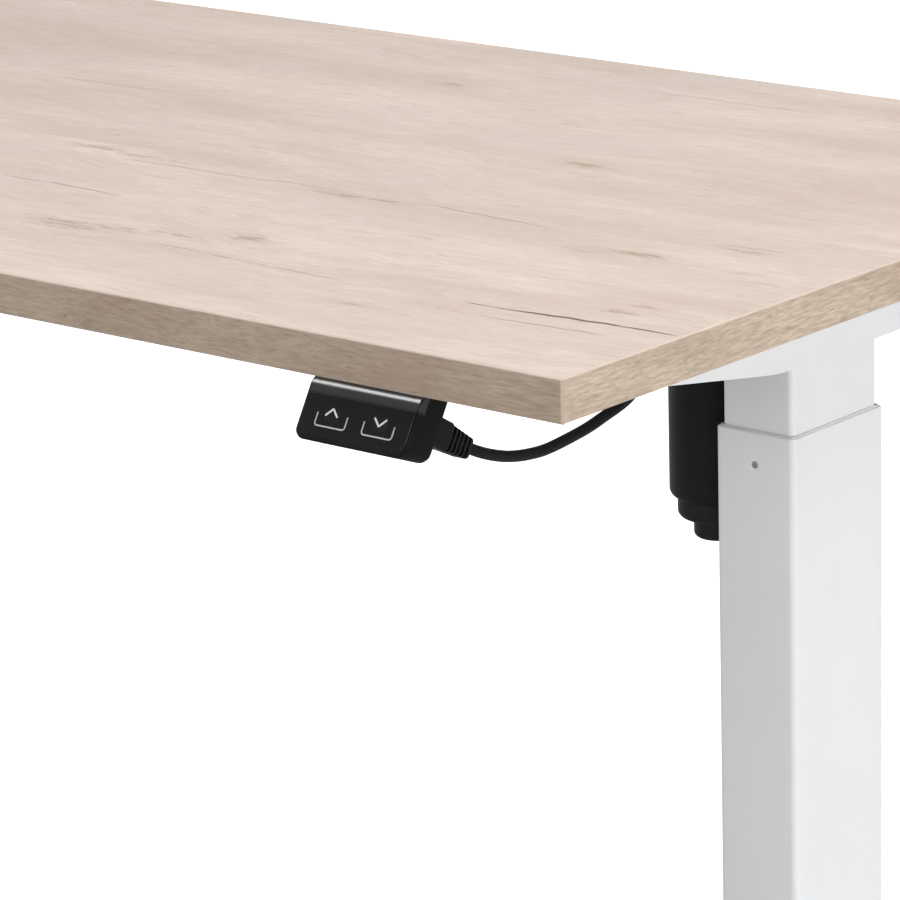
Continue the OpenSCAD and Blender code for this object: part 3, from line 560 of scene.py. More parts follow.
def oak_top(name, look):
    """Light oak print on the worktop, with its knots and drying cracks."""
    made, g, where, shader = new_finish(name)
    push, heart, halo, dark = 0.0, 0.0, 0.0, 0.0
    knot, crack = knot_group(), crack_group()
    for x, y, length, width in KNOTS:
        inputs = {"Vector": where, "X": x * MM, "Y": y * MM, "Long": length * MM, "Wide": width * MM}
        placed = g.place(knot, inputs)
        push = g.plus(push, placed.outputs["Push"])
        heart = g.calc("MAXIMUM", heart, placed.outputs["Heart"])
        halo = g.calc("MAXIMUM", halo, placed.outputs["Halo"])
    for x, y, half, width, lean, strength in CRACKS:
        inputs = {"X": x * MM, "Y": y * MM, "Half": half * MM, "Wide": width * MM, "Lean": lean}
        placed = g.place(crack, {"Vector": where, **inputs})
        dark = g.calc("MAXIMUM", dark, g.times(placed.outputs["Dark"], strength))
    bent = g.vector_sum(where, g.add("ShaderNodeCombineXYZ", {1: push}).outputs[0])
    figure = g.place(figure_group(), {"Vector": bent, "Size": 1.0}).outputs
    cloud = g.noise(g.stretch(bent, (6, 14, 14)), 1.0, 4.0, 0.6)
    colour = g.mix(figure["Bands"], (*look.oak_shade, 1), (*look.oak_light, 1))
    for share, shade in (
            (g.spread(cloud, 0.42, 0.68, 0.0, 0.85), look.oak_cool),
            (g.times(figure["Streaks"], 0.8), look.oak_fibre),
            (g.spread(figure["Fibres"], 0.0, 1.0, 0.0, 0.42), look.oak_fibre),
            (g.times(figure["Pores"], 0.22), look.oak_knot),
            (g.times(halo, 0.6), look.oak_halo),
            (g.times(heart, 0.46), look.oak_knot),
            (dark, look.oak_crack)):
        colour = g.mix(share, colour, (*shade, 1))
    g.link(colour, shader, "Base Color")
    g.link(g.spread(figure["Fibres"], 0.0, 1.0, 0.5, 0.62), shader, "Roughness")
    shader.inputs["Specular IOR Level"].default_value = 0.3
    height = g.calc("SUBTRACT", g.times(figure["Fibres"], 0.4), g.plus(figure["Pores"], dark))
    bump(g, shader, height, 0.25, 0.00012)
    return made


def oak_edge(name, look, turn, lift=1.0):
    """Oak edge band: finer, stronger grain that runs along the edge, with a painted highlight
    along its upper edge and at the upright corner. A lift above 1 lightens both band colours,
    a painted light for the bands along the sides.

    The painted highlight on the upper edge is found by its height, and at the upright corner
    by |x| + |y|, which is greatest there.
    """
    made, g, where, shader = new_finish(name)
    figure = g.place(figure_group(), {"Vector": g.stretch(where, (1, 1, 1), turn), "Size": 1.3}).outputs
    # Painted light: lift scales both band colours, and the bands along the sides take 1.24, lighter as if
    # lit from the right
    shade, light = ((*(c * lift for c in found), 1) for found in (look.edge_shade, look.edge_light))
    place = g.add("ShaderNodeSeparateXYZ", {0: where}).outputs
    # Painted highlight: a paler colour along the upper edge and at the upright corner, where the round edges
    # catch the light
    upper = g.spread(place[2], (TOP_Z - 1.1) * MM, (TOP_Z - 0.3) * MM, 0.0, 0.55)
    from_middle = g.plus(g.calc("ABSOLUTE", place[0]), g.calc("ABSOLUTE", place[1]))
    reach = (BOARD_HIGH[0] + BOARD_HIGH[1] + 3) * MM
    corner = g.spread(from_middle, reach - 1.4 * MM, reach - 0.6 * MM, 0.0, 0.25)
    colour = g.mix(figure["Bands"], shade, light)
    for share, other in (
            (g.times(figure["Streaks"], 0.6), look.edge_fibre),
            (g.spread(figure["Fibres"], 0.0, 1.0, 0.0, 0.5), look.edge_fibre),
            (g.times(figure["Pores"], 0.35), look.edge_pore),
            (g.calc("MAXIMUM", upper, corner), look.arris_highlight)):
        colour = g.mix(share, colour, (*other, 1))
    g.link(colour, shader, "Base Color")
    g.link(g.spread(figure["Fibres"], 0.0, 1.0, 0.5, 0.65), shader, "Roughness")
    shader.inputs["Specular IOR Level"].default_value = 0.3
    bump(g, shader, g.calc("SUBTRACT", figure["Fibres"], figure["Pores"]), 0.3, 0.00015)
    return made


# Knots of the printed oak: middle, half length and half width, in millimetres
KNOTS = [
    (481, -89, 21, 5), (449, -100, 12, 4), (526, -55, 20, 3.4), (335, 60, 18, 5), (546, -187, 15, 4.6),
    (548, -172, 10, 2.6), (62, -56, 26, 5), (98, -60, 20, 3), (182, -204, 24, 10), (214, -196, 20, 5),
    (246, -190, 16, 4), (290, -172, 16, 9), (262, -70, 18, 5), (292, -68, 16, 3), (428, -249, 18, 3),
    (-210, 120, 22, 6), (-420, -130, 18, 5), (-90, -210, 13, 4), (-330, 235, 15, 4), (120, 190, 18, 5),
    (470, 215, 16, 5), (-540, 190, 14, 5),
]
# Drying cracks: middle, half length, half width, lean and darkness
CRACKS = [
    (534, -210, 65, 1.5, 0.055, 0.9), (530, -228, 36, 0.9, 0.04, 0.45), (364, -65, 56, 0.8, -0.06, 0.5),
    (116, -138, 50, 1.2, -0.016, 0.42), (321, -212, 74, 1.1, -0.044, 0.36), (171, -67, 88, 1.0, 0.06, 0.36),
    (528, -46, 20, 0.8, 0.05, 0.35), (-260, -60, 80, 0.9, 0.03, 0.6), (-480, 60, 50, 0.9, -0.04, 0.5),
    (-60, 80, 60, 0.8, 0.05, 0.4), (-350, -240, 70, 0.8, 0.0, 0.5), (300, 240, 60, 0.8, 0.03, 0.4),
]

# Coated finishes of the slots: name, colour, colour of the marks, lowest and highest
# roughness, scale and depth of the grain, specular level, and metal if any. A word
# stands for a setting, and a number for that share of the colour.
COATED = {
    "white_powder_coat": ("white_powder_paint", "white", 0.975, (0.42, 0.5), 1100, 0.00006, 0.4),
    "zinc_steel": (
        "zinc_plated_steel", (175, 177, 180), (150, 151, 153), (0.28, 0.42), 700, 0.00004, 0.5, 1),
    "black_gearbox": (
        "gearbox_black_casting", (38, 38, 40), (48, 48, 50), (0.5, 0.62), 900, 0.0001, 0.15),
    "motor_black": ("motor_black_paint", "motor", (28, 28, 29), (0.36, 0.44), 1300, 0.00003, 0.12),
    "button_black": (
        "button_black_silicone", (30, 30, 32), (35, 35, 37), (0.4, 0.5), 2200, 0.00003, 0.3),
    "cable_black": ("cable_black_jacket", "cable", (28, 28, 29), (0.36, 0.46), 1500, 0.00004, 0.12),
    "guide_plastic": (
        "guide_grey_plastic", (226, 226, 227), (216, 216, 217), (0.45, 0.55), 1500, 0.00004, 0.4),
    "shoe_plastic": ("shoe_grey_plastic", (90, 90, 92), (80, 80, 82), (0.45, 0.55), 1500, 0.00004, 0.4),
    "box_plastic": ("box_black_plastic", (36, 36, 38), (46, 46, 48), (0.45, 0.58), 1100, 0.00012, 0.4),
    "gear_plastic": (
        "gear_ivory_plastic", (222, 220, 208), (205, 202, 190), (0.35, 0.45), 1200, 0.00003, 0.45),
    "glide_rubber": ("glide_black_rubber", (34, 34, 34), (44, 44, 43), (0.6, 0.75), 1000, 0.0001, 0.3),
    "rivet_grey": (
        "rivet_grey_paint", (158, 158, 158), (140, 140, 140), (0.35, 0.45), 900, 0.00004, 0.3),
}


def finish_for(slot, look):
    """The finish of a slot: the two oak prints, the handset's plastic, or a coated one."""
    if slot == "oak_melamine":
        return oak_top("oak_melamine_print", look)
    if slot == "oak_edge_band":
        return oak_edge("oak_edge_along_x", look, 0.0)
    if slot == "handset_black":
        return handset_plastic("handset_black_plastic", look)
    name, colour, marks, *rest = COATED[slot]
    colour = getattr(look, colour) if isinstance(colour, str) else linear(*colour)
    marks = linear(*marks) if isinstance(marks, tuple) else tuple(c * marks for c in colour)
    return coated(name, colour, marks, *rest)


def material_for(slot):
    """The finish of a slot, made the first time that it is asked for."""
    made = [m for m in bpy.data.materials if m.get("desk_slot") == slot]
    if made:
        return made[0]
    fresh = finish_for(slot, bpy.context.scene.desk_look)
    fresh["desk_slot"] = slot
    return fresh


# ---------- Properties ----------

def colour_property(name, description, *screen):
    """A colour setting whose default is a screen colour from 0 to 255."""
    return bpy.props.FloatVectorProperty(
        name=name, description=description, subtype="COLOR", size=3, min=0, max=1, default=linear(*screen))


class DeskLook(bpy.types.PropertyGroup):
    """Colours and edge sizes of the desk."""

    oak_light: colour_property("Oak light", "Light bands of the worktop's print", 228, 213, 204)
    oak_shade: colour_property("Oak shade", "Shaded bands of the worktop's print", 207, 190, 178)
    oak_cool: colour_property("Oak cool", "Cooler clouds in the worktop's print", 215, 202, 194)
    oak_halo: colour_property("Oak halo", "Shade round a knot", 196, 180, 164)
    oak_fibre: colour_property("Oak fibre", "Fine fibres in the worktop's print", 200, 181, 166)
    oak_knot: colour_property("Oak knot", "Knots and pores in the worktop's print", 150, 128, 108)
    oak_crack: colour_property("Oak crack", "Drying cracks in the worktop's print", 92, 68, 54)
    edge_light: colour_property("Edge light", "Light bands of the edge band", 197, 180, 162)
    edge_shade: colour_property("Edge shade", "Shaded bands of the edge band", 174, 154, 136)
    edge_fibre: colour_property("Edge fibre", "Fibres of the edge band", 152, 133, 116)
    edge_pore: colour_property("Edge pore", "Pores of the edge band", 112, 92, 76)
    # Painted highlight: the paler colour along the upper edge and the upright corner of the edge band, where
    # the round edges catch the light
    arris_highlight: colour_property("Arris", "Trimmed upper edge of the edge band", 232, 218, 206)
    white: colour_property("White", "Powder coat of the steel frame", 236, 237, 239)
    motor: colour_property("Motor", "Paint of the motors", 20, 20, 21)
    handset: colour_property("Handset", "Plastic of the handset", 18, 18, 19)
    cable: colour_property("Cable", "Jacket of the handset's cable", 20, 20, 21)
    band_edge: bpy.props.FloatProperty(
        name="Band edge", description="Radius along the outer edges of the edge band, in millimetres",
        default=0.9, min=0.2, max=1.4)
    rim_edge: bpy.props.FloatProperty(
        name="Rim edge", description="Radius over the outer column's rim, in millimetres",
        default=0.9, min=0.2, max=1.4)
    support_blend: bpy.props.FloatProperty(
        name="Support blend",
        description="Length of the curve where the support starts to taper, in millimetres",
        default=5, min=4, max=40)


class DeskStage(bpy.types.PropertyGroup):
    """Camera and light."""

    eye: bpy.props.FloatVectorProperty(
        name="Eye", description="Place of the camera", subtype="TRANSLATION", unit="LENGTH",
        default=(1.8598, -1.8643, 1.2745))
    azimuth: bpy.props.FloatProperty(
        name="Azimuth", description="Angle of the camera round the desk, in degrees", default=40.34)
    elevation: bpy.props.FloatProperty(
        name="Elevation", description="Angle of the camera above the horizon, in degrees", default=16.24)
    roll: bpy.props.FloatProperty(name="Roll", description="Tilt of the camera, in degrees", default=-1.65)
    lens: bpy.props.FloatProperty(
        name="Lens", description="Focal length for a 36 mm sensor, in millimetres", default=180.3, min=10)
    ambient: bpy.props.FloatProperty(
        name="Ambient", description="Strength of the light from all round", default=0.3, min=0)
    overhead: bpy.props.FloatProperty(
        name="Overhead", description="Strength of the broad light from above", default=2.22, min=0)
    side: bpy.props.FloatProperty(
        name="Side", description="Strength of the soft light from the right", default=1.6, min=0)
    front: bpy.props.FloatProperty(
        name="Front", description="Strength of the low soft light from the front", default=0.76, min=0)
    glint: bpy.props.FloatProperty(
        name="Glint", description="Strength of the small light on the handset's upper edge",
        default=3, min=0)


# ---------- Operators ----------

class DESK_OT_camera(bpy.types.Operator):
    """Puts the camera at its place"""

    bl_idname = "desk.camera"
    bl_label = "Camera"

    def execute(self, context):
        stage = context.scene.desk_stage
        turn, lift, roll = (math.radians(a) for a in (stage.azimuth, stage.elevation, stage.roll))
        back = np.array([math.sin(turn) * math.cos(lift), -math.cos(turn) * math.cos(lift), math.sin(lift)])
        level = np.array([math.cos(turn), math.sin(turn), 0])
        upward = np.cross(back, level)
        right = math.cos(roll) * level + math.sin(roll) * upward
        up = math.cos(roll) * upward - math.sin(roll) * level
        lens = bpy.data.cameras.new("camera")
        lens.lens = stage.lens
        lens.sensor_width = 36
        lens.clip_start, lens.clip_end = 0.05, 200
        camera = bpy.data.objects.new("camera", lens)
        context.scene.collection.objects.link(camera)
        place = Matrix(np.column_stack([right, up, back]).tolist()).to_4x4()
        place.translation = stage.eye
        camera.matrix_world = place
        context.scene.camera = camera
        return {"FINISHED"}


class DESK_OT_cable(bpy.types.Operator):
    """Builds the handset's cable with the plug at each of its ends"""

    bl_idname = "desk.cable"
    bl_label = "Cable and plugs"

    def execute(self, context):
        line = smooth_line(CABLE_ROUTE, 14)
        cable = piece("cable", [shell(tube(line, CABLE_DIAMETER / 2))], "top", "cable_black",
                      stands_for=["handset_cable"])
        plugs = [handset_boot(), box_boot()]
        return {"FINISHED"}


def boot_sections(half, end_half, block_long, long, slots):
    """Sections of a moulded plug: a square block, then a tapering boot with slots.

    The half width falls linearly along the boot. A slot sinks it by up to 2 mm, except
    near the middle of each side, where a spine is left.
    """
    t = np.concatenate([
        [0, 0.3, 0.9], np.linspace(1.5, block_long - 0.6, 6), [block_long - 0.2, block_long],
        np.linspace(block_long + 0.2, long - 1.2, 110), long - 1.2 + 1.2 * np.sin(np.linspace(0.1, 1.5, 7)),
    ])
    taper = np.clip((t - block_long) / (long - block_long), 0, 1)
    size = np.where(t <= block_long, half, (half - 0.5) + (end_half - half + 0.5) * taper)
    size = size - 0.5 * (1 - np.clip(t / 0.9, 0, 1)) ** 2
    size = size - np.where(t > long - 1.2, 1.2 - np.sqrt(np.clip(1.44 - (t - long + 1.2) ** 2, 0, None)), 0)
    outline = rounded_outline([(-1, -1), (1, -1), (1, 1), (-1, 1)], 0.34, 9)
    outline = np.concatenate([
        outline + (np.roll(outline, -1, 0) - outline) * share for share in (0, 0.25, 0.5, 0.75)
    ]).reshape(4, -1, 2).transpose(1, 0, 2).reshape(-1, 2)
    pitch = (long - block_long - 2.5) / slots
    phase = np.mod(t - block_long - 1.4, pitch)
    inside = (t > block_long + 1.2) & (t < long - 1.6)
    slot_end = pitch * 0.42
    open_share = smooth_step(phase, 0, 0.35) * (1 - smooth_step(phase, slot_end, slot_end + 0.35))
    gap = np.where(inside, open_share, 0)
    away = smooth_step(np.minimum(np.abs(outline[:, 0]), np.abs(outline[:, 1])), 0.2, 0.3)
    size = size[:, None] - 2 * gap[:, None] * away[None, :]
    return t, outline[None] * size[..., None]


def handset_boot():
    """Plug and bend relief on the back of the handset."""
    t, flat = boot_sections(7.5, 5.4, 12, 33, 5)
    depth = np.broadcast_to((-HAND_T - t)[:, None, None], (*flat.shape[:2], 1))
    points = np.concatenate([flat + np.array([PLUG_X, PLUG_V]), depth], -1)
    return piece("handset_boot", [shell(on_face(points))], "top", "cable_black", stands_for=["handset_plug"])


def box_boot():
    """Plug and bend relief at the control box."""
    low, high = span("control_box_plug")
    t, flat = boot_sections(6, 4.5, 12, high[0] - low[0], 3)
    points = np.concatenate([
        np.broadcast_to((low[0] + t)[:, None, None], (*flat.shape[:2], 1)),
        flat + (low[1:] + high[1:]) / 2,
    ], -1)
    return piece("box_boot", [shell(points)], "top", "cable_black", stands_for=["control_box_plug"])


class DESK_OT_stage(bpy.types.Operator):
    """Lays the floor and sets the light"""

    bl_idname = "desk.stage"
    bl_label = "Stage"

    def execute(self, context):
        stage = context.scene.desk_stage
        reach = 30
        corners = [(-reach, -reach, 0), (reach, -reach, 0), (reach, reach, 0), (-reach, reach, 0)]
        mesh = bpy.data.meshes.new("floor")
        mesh.from_pydata(corners, [], [(0, 1, 2, 3)])
        made, g, where, shader = new_finish("floor_white")
        cloud = g.noise(where, 0.8, 2.0)
        g.link(g.mix(cloud, (0.5, 0.5, 0.5, 1), (0.54, 0.54, 0.54, 1)), shader, "Base Color")
        shader.inputs["Roughness"].default_value = 0.9
        shader.inputs["Specular IOR Level"].default_value = 0.1
        g.link(g.add("ShaderNodeLightPath").outputs["Is Camera Ray"], shader, "Emission Strength")
        shader.inputs["Emission Color"].default_value = (0.9, 0.9, 0.9, 1)
        mesh.materials.append(made)
        floor = bpy.data.objects.new("floor", mesh)
        context.scene.collection.objects.link(floor)

        sky = bpy.data.worlds.new("studio")
        context.scene.world = sky
        sky.use_nodes = True
        g = Graph(sky.node_tree)
        background = sky.node_tree.nodes["Background"]
        seen = g.add("ShaderNodeLightPath").outputs["Is Camera Ray"]
        g.link(g.spread(seen, 0.0, 1.0, stage.ambient, 1.0), background, "Strength")
        background.inputs["Color"].default_value = (1, 1, 1, 1)

        for name, strength, spread, tilt, turn in (
                ("overhead", stage.overhead, 60, 4, 0), ("side", stage.side, 30, 78, 0),
                ("front", stage.front, 30, 82, -90)):
            light = bpy.data.lights.new(name, "SUN")
            light.energy = strength
            light.angle = math.radians(spread)
            lamp = bpy.data.objects.new(name, light)
            lamp.rotation_euler = (0, math.radians(tilt), math.radians(turn))
            context.scene.collection.objects.link(lamp)
        context.scene.view_settings.view_transform = "Standard"
        return {"FINISHED"}


class DESK_OT_worktop(bpy.types.Operator):
    """Builds the board and the four strips of edge band round it"""

    bl_idname = "desk.worktop"
    bl_label = "Worktop"

    def execute(self, context):
        look = context.scene.desk_look
        piece("worktop", [shell(block(BOARD_LOW, BOARD_HIGH, 2, 0.3, 0.05, 3))], "top", "oak_melamine",
              stands_for=["tabletop_board"])
        # Painted light: the side bands along Y take the edge colours lifted by 1.24, a lighter copy standing
        # in for the light from the right
        across = oak_edge("oak_edge_along_y", look, math.pi / 2, 1.24)
        r = look.band_edge
        for name in ("front", "back", "left", "right"):
            low, high = span("edge_band_" + name)
            long, end_r, finish = (0, r, None) if name in ("front", "back") else (1, 0.05, across)
            points = band_sections(low, high, long, name, r, end_r)
            piece("band_" + name, [shell(points)], "top", "oak_edge_band", finish,
                  stands_for=["edge_band_" + name])
        return {"FINISHED"}


def band_sections(low, high, long, name, edge, end_r):
    """Sections of one strip of edge band along its length, round on its outer edges only.

    At the ends of a long strip the outer face draws in along a quarter circle, so that
    the worktop's upright corner is round too.
    """
    across = 1 - long
    outer = high[across] if name in ("back", "right") else low[across]
    inner = low[across] if name in ("back", "right") else high[across]
    inward = math.copysign(1, inner - outer)
    turn = np.linspace(0, math.pi / 2, 6)
    inset = end_r * (1 - np.sin(turn))
    depth = end_r * (1 - np.cos(turn))
    stations = np.concatenate([low[long] + depth, (high[long] - depth)[::-1]])
    sections = []
    for station, i in zip(stations, np.concatenate([inset, inset[::-1]])):
        face = outer + inward * i
        corners = [(face, low[2]), (face, high[2]), (inner, high[2]), (inner, low[2])]
        flat = rounded_outline(corners, (edge - i * 0.9, edge - i * 0.9, 0.04, 0.04), 6)
        section = np.empty((len(flat), 3))
        section[:, long] = station
        section[:, across], section[:, 2] = flat.T
        sections.append(section)
    return np.array(sections)


class DESK_OT_columns(bpy.types.Operator):
    """Builds the lifting columns: both tubes, the liner between them and its rivets"""

    bl_idname = "desk.columns"
    bl_label = "Columns"

    def execute(self, context):
        rim = context.scene.desk_look.rim_edge
        wall, inner_wall, plate = 1.5, 1.8, 3
        liner_low, liner_high = span("collar_liner_right")
        for name, side in SIDES.items():
            outer = column_tube(OUTER_LOW, OUTER_HIGH, wall, 4, (0.1, rim, 0.2, 0.1), RIVET_Z)
            base = block(OUTER_LOW + wall - 0.2, [OUTER_HIGH[0] - wall + 0.2, OUTER_HIGH[1] - wall + 0.2,
                                                   OUTER_LOW[2] + 4], 2, 2.5, 0.1)
            base[..., 2] = np.maximum(base[..., 2], OUTER_LOW[2] + 0.05)
            piece("outer_tube_" + name, [shell(mirrored(outer, side), True), shell(mirrored(base, side))],
                  name + "_leg", "white_powder_coat", stands_for=["outer_column_" + name])
            inner = column_tube(INNER_LOW, INNER_HIGH, inner_wall, 3.5, (0.2, 0.05, 0.05, 0.2))
            head = block([INNER_LOW[0] + 1, INNER_LOW[1] + 1, INNER_HIGH[2] - plate],
                         [INNER_HIGH[0] - 1, INNER_HIGH[1] - 1, INNER_HIGH[2] - 0.1], 2, 2, 0.1)
            piece("inner_tube_" + name, [shell(mirrored(inner, side), True), shell(mirrored(head, side))],
                  "top", "white_powder_coat", stands_for=["inner_column_" + name])
            liner = column_tube(liner_low, liner_high, 1.1, 2.5, (0.05, 0.25, 0.1, 0.05))
            piece("liner_" + name, [shell(mirrored(liner, side), True)], name + "_leg", "guide_plastic",
                  stands_for=["collar_liner_" + name])
            heads = [shell(mirrored(rivet_head(way), side)) for way in (-1, 1)]
            piece("rivets_" + name, heads, name + "_leg", "rivet_grey", stands_for=["liner_rivets_" + name])
        return {"FINISHED"}


def rivet_head(way):
    """A drive rivet in its dimple: a low rounded head with a shallow hollow."""
    profile = rounded_outline(
        [(0.05, -1.4), (2.9, -1.4), (2.9, -0.1), (1.6, 0.1), (1.2, -0.1), (0.05, -0.15)],
        (0, 0.1, 0.5, 0.3, 0.3, 0), 5)[4:-4]
    face = OUTER_LOW[1] if way < 0 else OUTER_HIGH[1]
    return turned(profile * [1, way], (LEG_X, face - way * 0.45, RIVET_Z), 40, 1)


class DESK_OT_supports(bpy.types.Operator):
    """Builds the two side supports that carry the worktop"""

    bl_idname = "desk.supports"
    bl_label = "Side supports"

    def execute(self, context):
        blend = context.scene.desk_look.support_blend
        slope = math.tan(math.radians(9.3))
        flat_front, flat_back = 11.5, 24.5
        wall, window = 2.5, 27
        tip = SUPPORT_HIGH[1]
        y = np.concatenate([
            np.linspace(-tip, -120, 8), np.linspace(-110, -38, 25), [-window - 0.02, -window],
            [window, window + 0.02], np.linspace(38, 110, 25), np.linspace(120, tip, 8),
        ])
        front, back = taper_rise(-y, flat_front, blend), taper_rise(y, flat_back, blend)
        rise = np.where(y < 0, front, back) * slope
        low = SUPPORT_LOW[2] + rise
        inner = np.where(np.abs(y) <= window, UNDER_Z - wall - 1, low)
        half = (SUPPORT_HIGH[0] - SUPPORT_LOW[0]) / 2
        for name, side in SIDES.items():
            points = channel(y, np.full(len(y), UNDER_Z), np.stack([inner, low], -1), half, wall, wall, 2.5)
            points[..., 0] += LEG_X
            piece("support_" + name, [shell(mirrored(points, side))], "top", "white_powder_coat",
                  stands_for=["side_support_" + name])
        return {"FINISHED"}


def taper_rise(out, flat, blend):
    """How far along its slope the taper has come, with a soft start past the column.

    For a distance d past the bend it is (d + sqrt(d^2 + k^2)) / 2 - g, with k the blend
    and g = k^2 / (4 flat), so that it is 0 at the column and d - g far from it.
    """
    gap = blend**2 / (4 * flat)
    d = out - (OUTER_HIGH[1] - 2.5) - flat + gap
    return np.maximum((d + np.sqrt(d * d + blend * blend)) / 2 - gap, 0)


class DESK_OT_motors(bpy.types.Operator):
    """Builds the two motors with their stepped end caps"""

    bl_idname = "desk.motors"
    bl_label = "Motors"

    def execute(self, context):
        radius = (MOTOR_HIGH[0] - MOTOR_LOW[0]) / 2
        step_radius, tail_radius, screw_circle = 22.2, 13.6, 17.9
        low, top = MOTOR_LOW[2], MOTOR_HIGH[2]
        tail, step = span("motor_end_cap_right")[0][2], MOTOR_LOW[2] - 11.5
        can = rounded_outline(
            [(0.2, low), (radius, low), (radius, top), (0.2, top)], (0, 5, 0.3, 0), 12)[11:-11]
        cap = rounded_outline(
            [(0.2, tail), (tail_radius, tail), (tail_radius, step), (step_radius, step),
             (step_radius, low + 0.1), (0.2, low + 0.1)], (0, 3, 0.6, 4, 0.1, 0), 10)[9:-9]
        finish = coated(
            "motor_cap_plastic", linear(27, 27, 28), linear(34, 34, 35), (0.42, 0.5), 1300, 0.00003, 0.14)
        place = (MOTOR_X, 0, 0)
        socket = block([MOTOR_X - 6, 18.2, low - 10.5], [MOTOR_X + 6, 27.2, low - 1.5], 2, 1.2, 0.6)
        mouth = block([MOTOR_X - 4.2, 25, low - 9.1], [MOTOR_X + 4.2, 27.35, low - 2.9], 1, 0.6, 0.1)
        screws = []
        for a in (0.6, math.pi + 0.6):
            x, y = MOTOR_X + screw_circle * math.cos(a), screw_circle * math.sin(a)
            screws.append(cross_head((x, y, step + 0.1), 2.1, 1.2, 2, -1))
        for name, side in SIDES.items():
            piece("motor_can_" + name, [shell(mirrored(turned(can, place, 96), side))], "top", "motor_black",
                  stands_for=["motor_body_" + name])
            parts = [turned(cap, place, 96), socket, mouth, *screws]
            piece("motor_cap_" + name, [shell(mirrored(part, side)) for part in parts], "top", "motor_black",
                  finish, stands_for=["motor_end_cap_" + name])
        return {"FINISHED"}


class DESK_OT_handset(bpy.types.Operator):
    """Builds the handset: its shell, its face panel and the printing on it"""

    bl_idname = "desk.handset"
    bl_label = "Handset"

    def execute(self, context):
        flange_low = [HAND_TOP[0] - 22, HAND_TOP[1] + 20, UNDER_Z - 3]
        flange = block(flange_low, [HAND_TOP[0] + 22, HAND_TOP[1] + 47, UNDER_Z - 0.02], 2, 2.5, 0.5)
        piece("handset_case", [shell(handset_sections()), shell(flange)], "top", "handset_black",
              stands_for=["handset_shell"])
        half = HAND_W / 2 - 1.5
        panel = block([-half, 3, -0.8], [half, HAND_H - 6.2, 0.4], 2, (5.2, 5.2, 1.2, 1.2), 0.35, 8)
        finish = coated(
            "handset_panel_gloss", linear(20, 20, 21), linear(25, 25, 26), (0.2, 0.28), 3000, 0.00001, 0.45)
        piece("handset_panel", [shell(on_face(panel))], "top", "handset_black", finish,
              stands_for=["handset_face"])
        ink = coated(
            "face_grey_ink", linear(200, 201, 204), linear(186, 187, 190), (0.5, 0.6), 3000, 0.00001, 0.3)
        for name, middle in (("up", -14.7), ("down", 15.3)):
            left, right = middle - 9.6, middle + 9.6
            bracket = [(left, 14.7), (left, 8.1), (right, 8.1), (right, 14.7)]
            strip = ribbon(bent_line(bracket, 1.6), 0.75, 0.3, 0.45)
            piece("face_print_" + name, [shell(on_face(strip))], "top", "handset_black", ink)
        return {"FINISHED"}


def handset_sections():
    """Sections of the handset's shell from side to side.

    Each is the side view's five straight edges, moved in by an inset i, with arcs at their
    corners. The base starts r - sqrt(r^2 - d^2) up the face, d being the distance into a
    corner of radius r, and i follows a quarter circle at both sides.
    """
    edge = 1.0
    turn = np.linspace(0, math.pi / 2, 9)
    corner = HAND_W / 2 - HAND_R + HAND_R * np.sin(np.linspace(0, 1.25, 12))
    side = HAND_W / 2 - edge + edge * np.sin(turn)
    right = np.unique(np.round(np.concatenate([np.linspace(0, HAND_W / 2 - HAND_R, 4), corner, side]), 5))
    x = np.concatenate([-right[::-1], right[1:]])
    into = np.clip(np.abs(x) - (HAND_W / 2 - HAND_R), 0, HAND_R - 0.01)
    low_v = HAND_R - np.sqrt(HAND_R**2 - into**2)
    past = np.clip(np.abs(x) - (HAND_W / 2 - edge), 0, edge)
    inset = edge - np.sqrt(edge**2 - past**2)
    up, out = FACE_UP[1:], FACE_OUT[1:]
    top = HAND_TOP[1:]
    along_rise = np.array([math.cos(RISE), math.sin(RISE)])
    along_base = np.array([math.cos(BASE), -math.sin(BASE)])
    sections = []
    for station, v, i in zip(x, low_v, inset):
        edges = [
            (np.array([along_base[1], -along_base[0]]), top + (v - HAND_H) * up),
            (out, top),
            (np.array([-along_rise[1], along_rise[0]]), top),
            (np.array([0.0, 1.0]), np.array([0, UNDER_Z - 0.02])),
            (-out, top - HAND_T * out),
        ]
        normals = np.array([n for n, _ in edges])
        reach = np.array([n @ p for n, p in edges]) - i
        corners = [
            np.linalg.solve(normals[[k, (k + 1) % 5]], reach[[k, (k + 1) % 5]]) for k in range(5)
        ]
        flat = rounded_outline(corners, (0.9, 7, 0.4, 0.4, 1.4), 8)
        sections.append(np.concatenate([np.full((len(flat), 1), HAND_TOP[0] + station), flat], 1))
    return np.array(sections)


class DESK_OT_buttons(bpy.types.Operator):
    """Builds the two buttons of the handset with their arrows"""

    bl_idname = "desk.buttons"
    bl_label = "Buttons"

    def execute(self, context):
        ink = coated(
            "arrow_white_ink", linear(244, 244, 245), linear(232, 232, 233), (0.5, 0.6), 3000, 0.00001, 0.3)
        for name, middle, way in (("up", -15.2, 1), ("down", 15.2, -1)):
            pad = block([middle - 4.6, 10.95, -1.2], [middle + 4.6, 21.25, 0.6], 2, 2, 0.4, 7)
            piece(name + "_pad", [shell(on_face(pad))], name + "_button", "button_black",
                  stands_for=[name + "_button"])
            foot, tip = 15.5 - way * 1.9, 15.5 + way * 2.0
            arrow = [(middle - 3.9, foot), (middle, tip), (middle + 3.9, foot)]
            strip = ribbon(bent_line(arrow, 0.3), 1.05, 0.55, 0.66)
            piece(name + "_arrow", [shell(on_face(strip))], name + "_button", "button_black", ink)
        return {"FINISHED"}


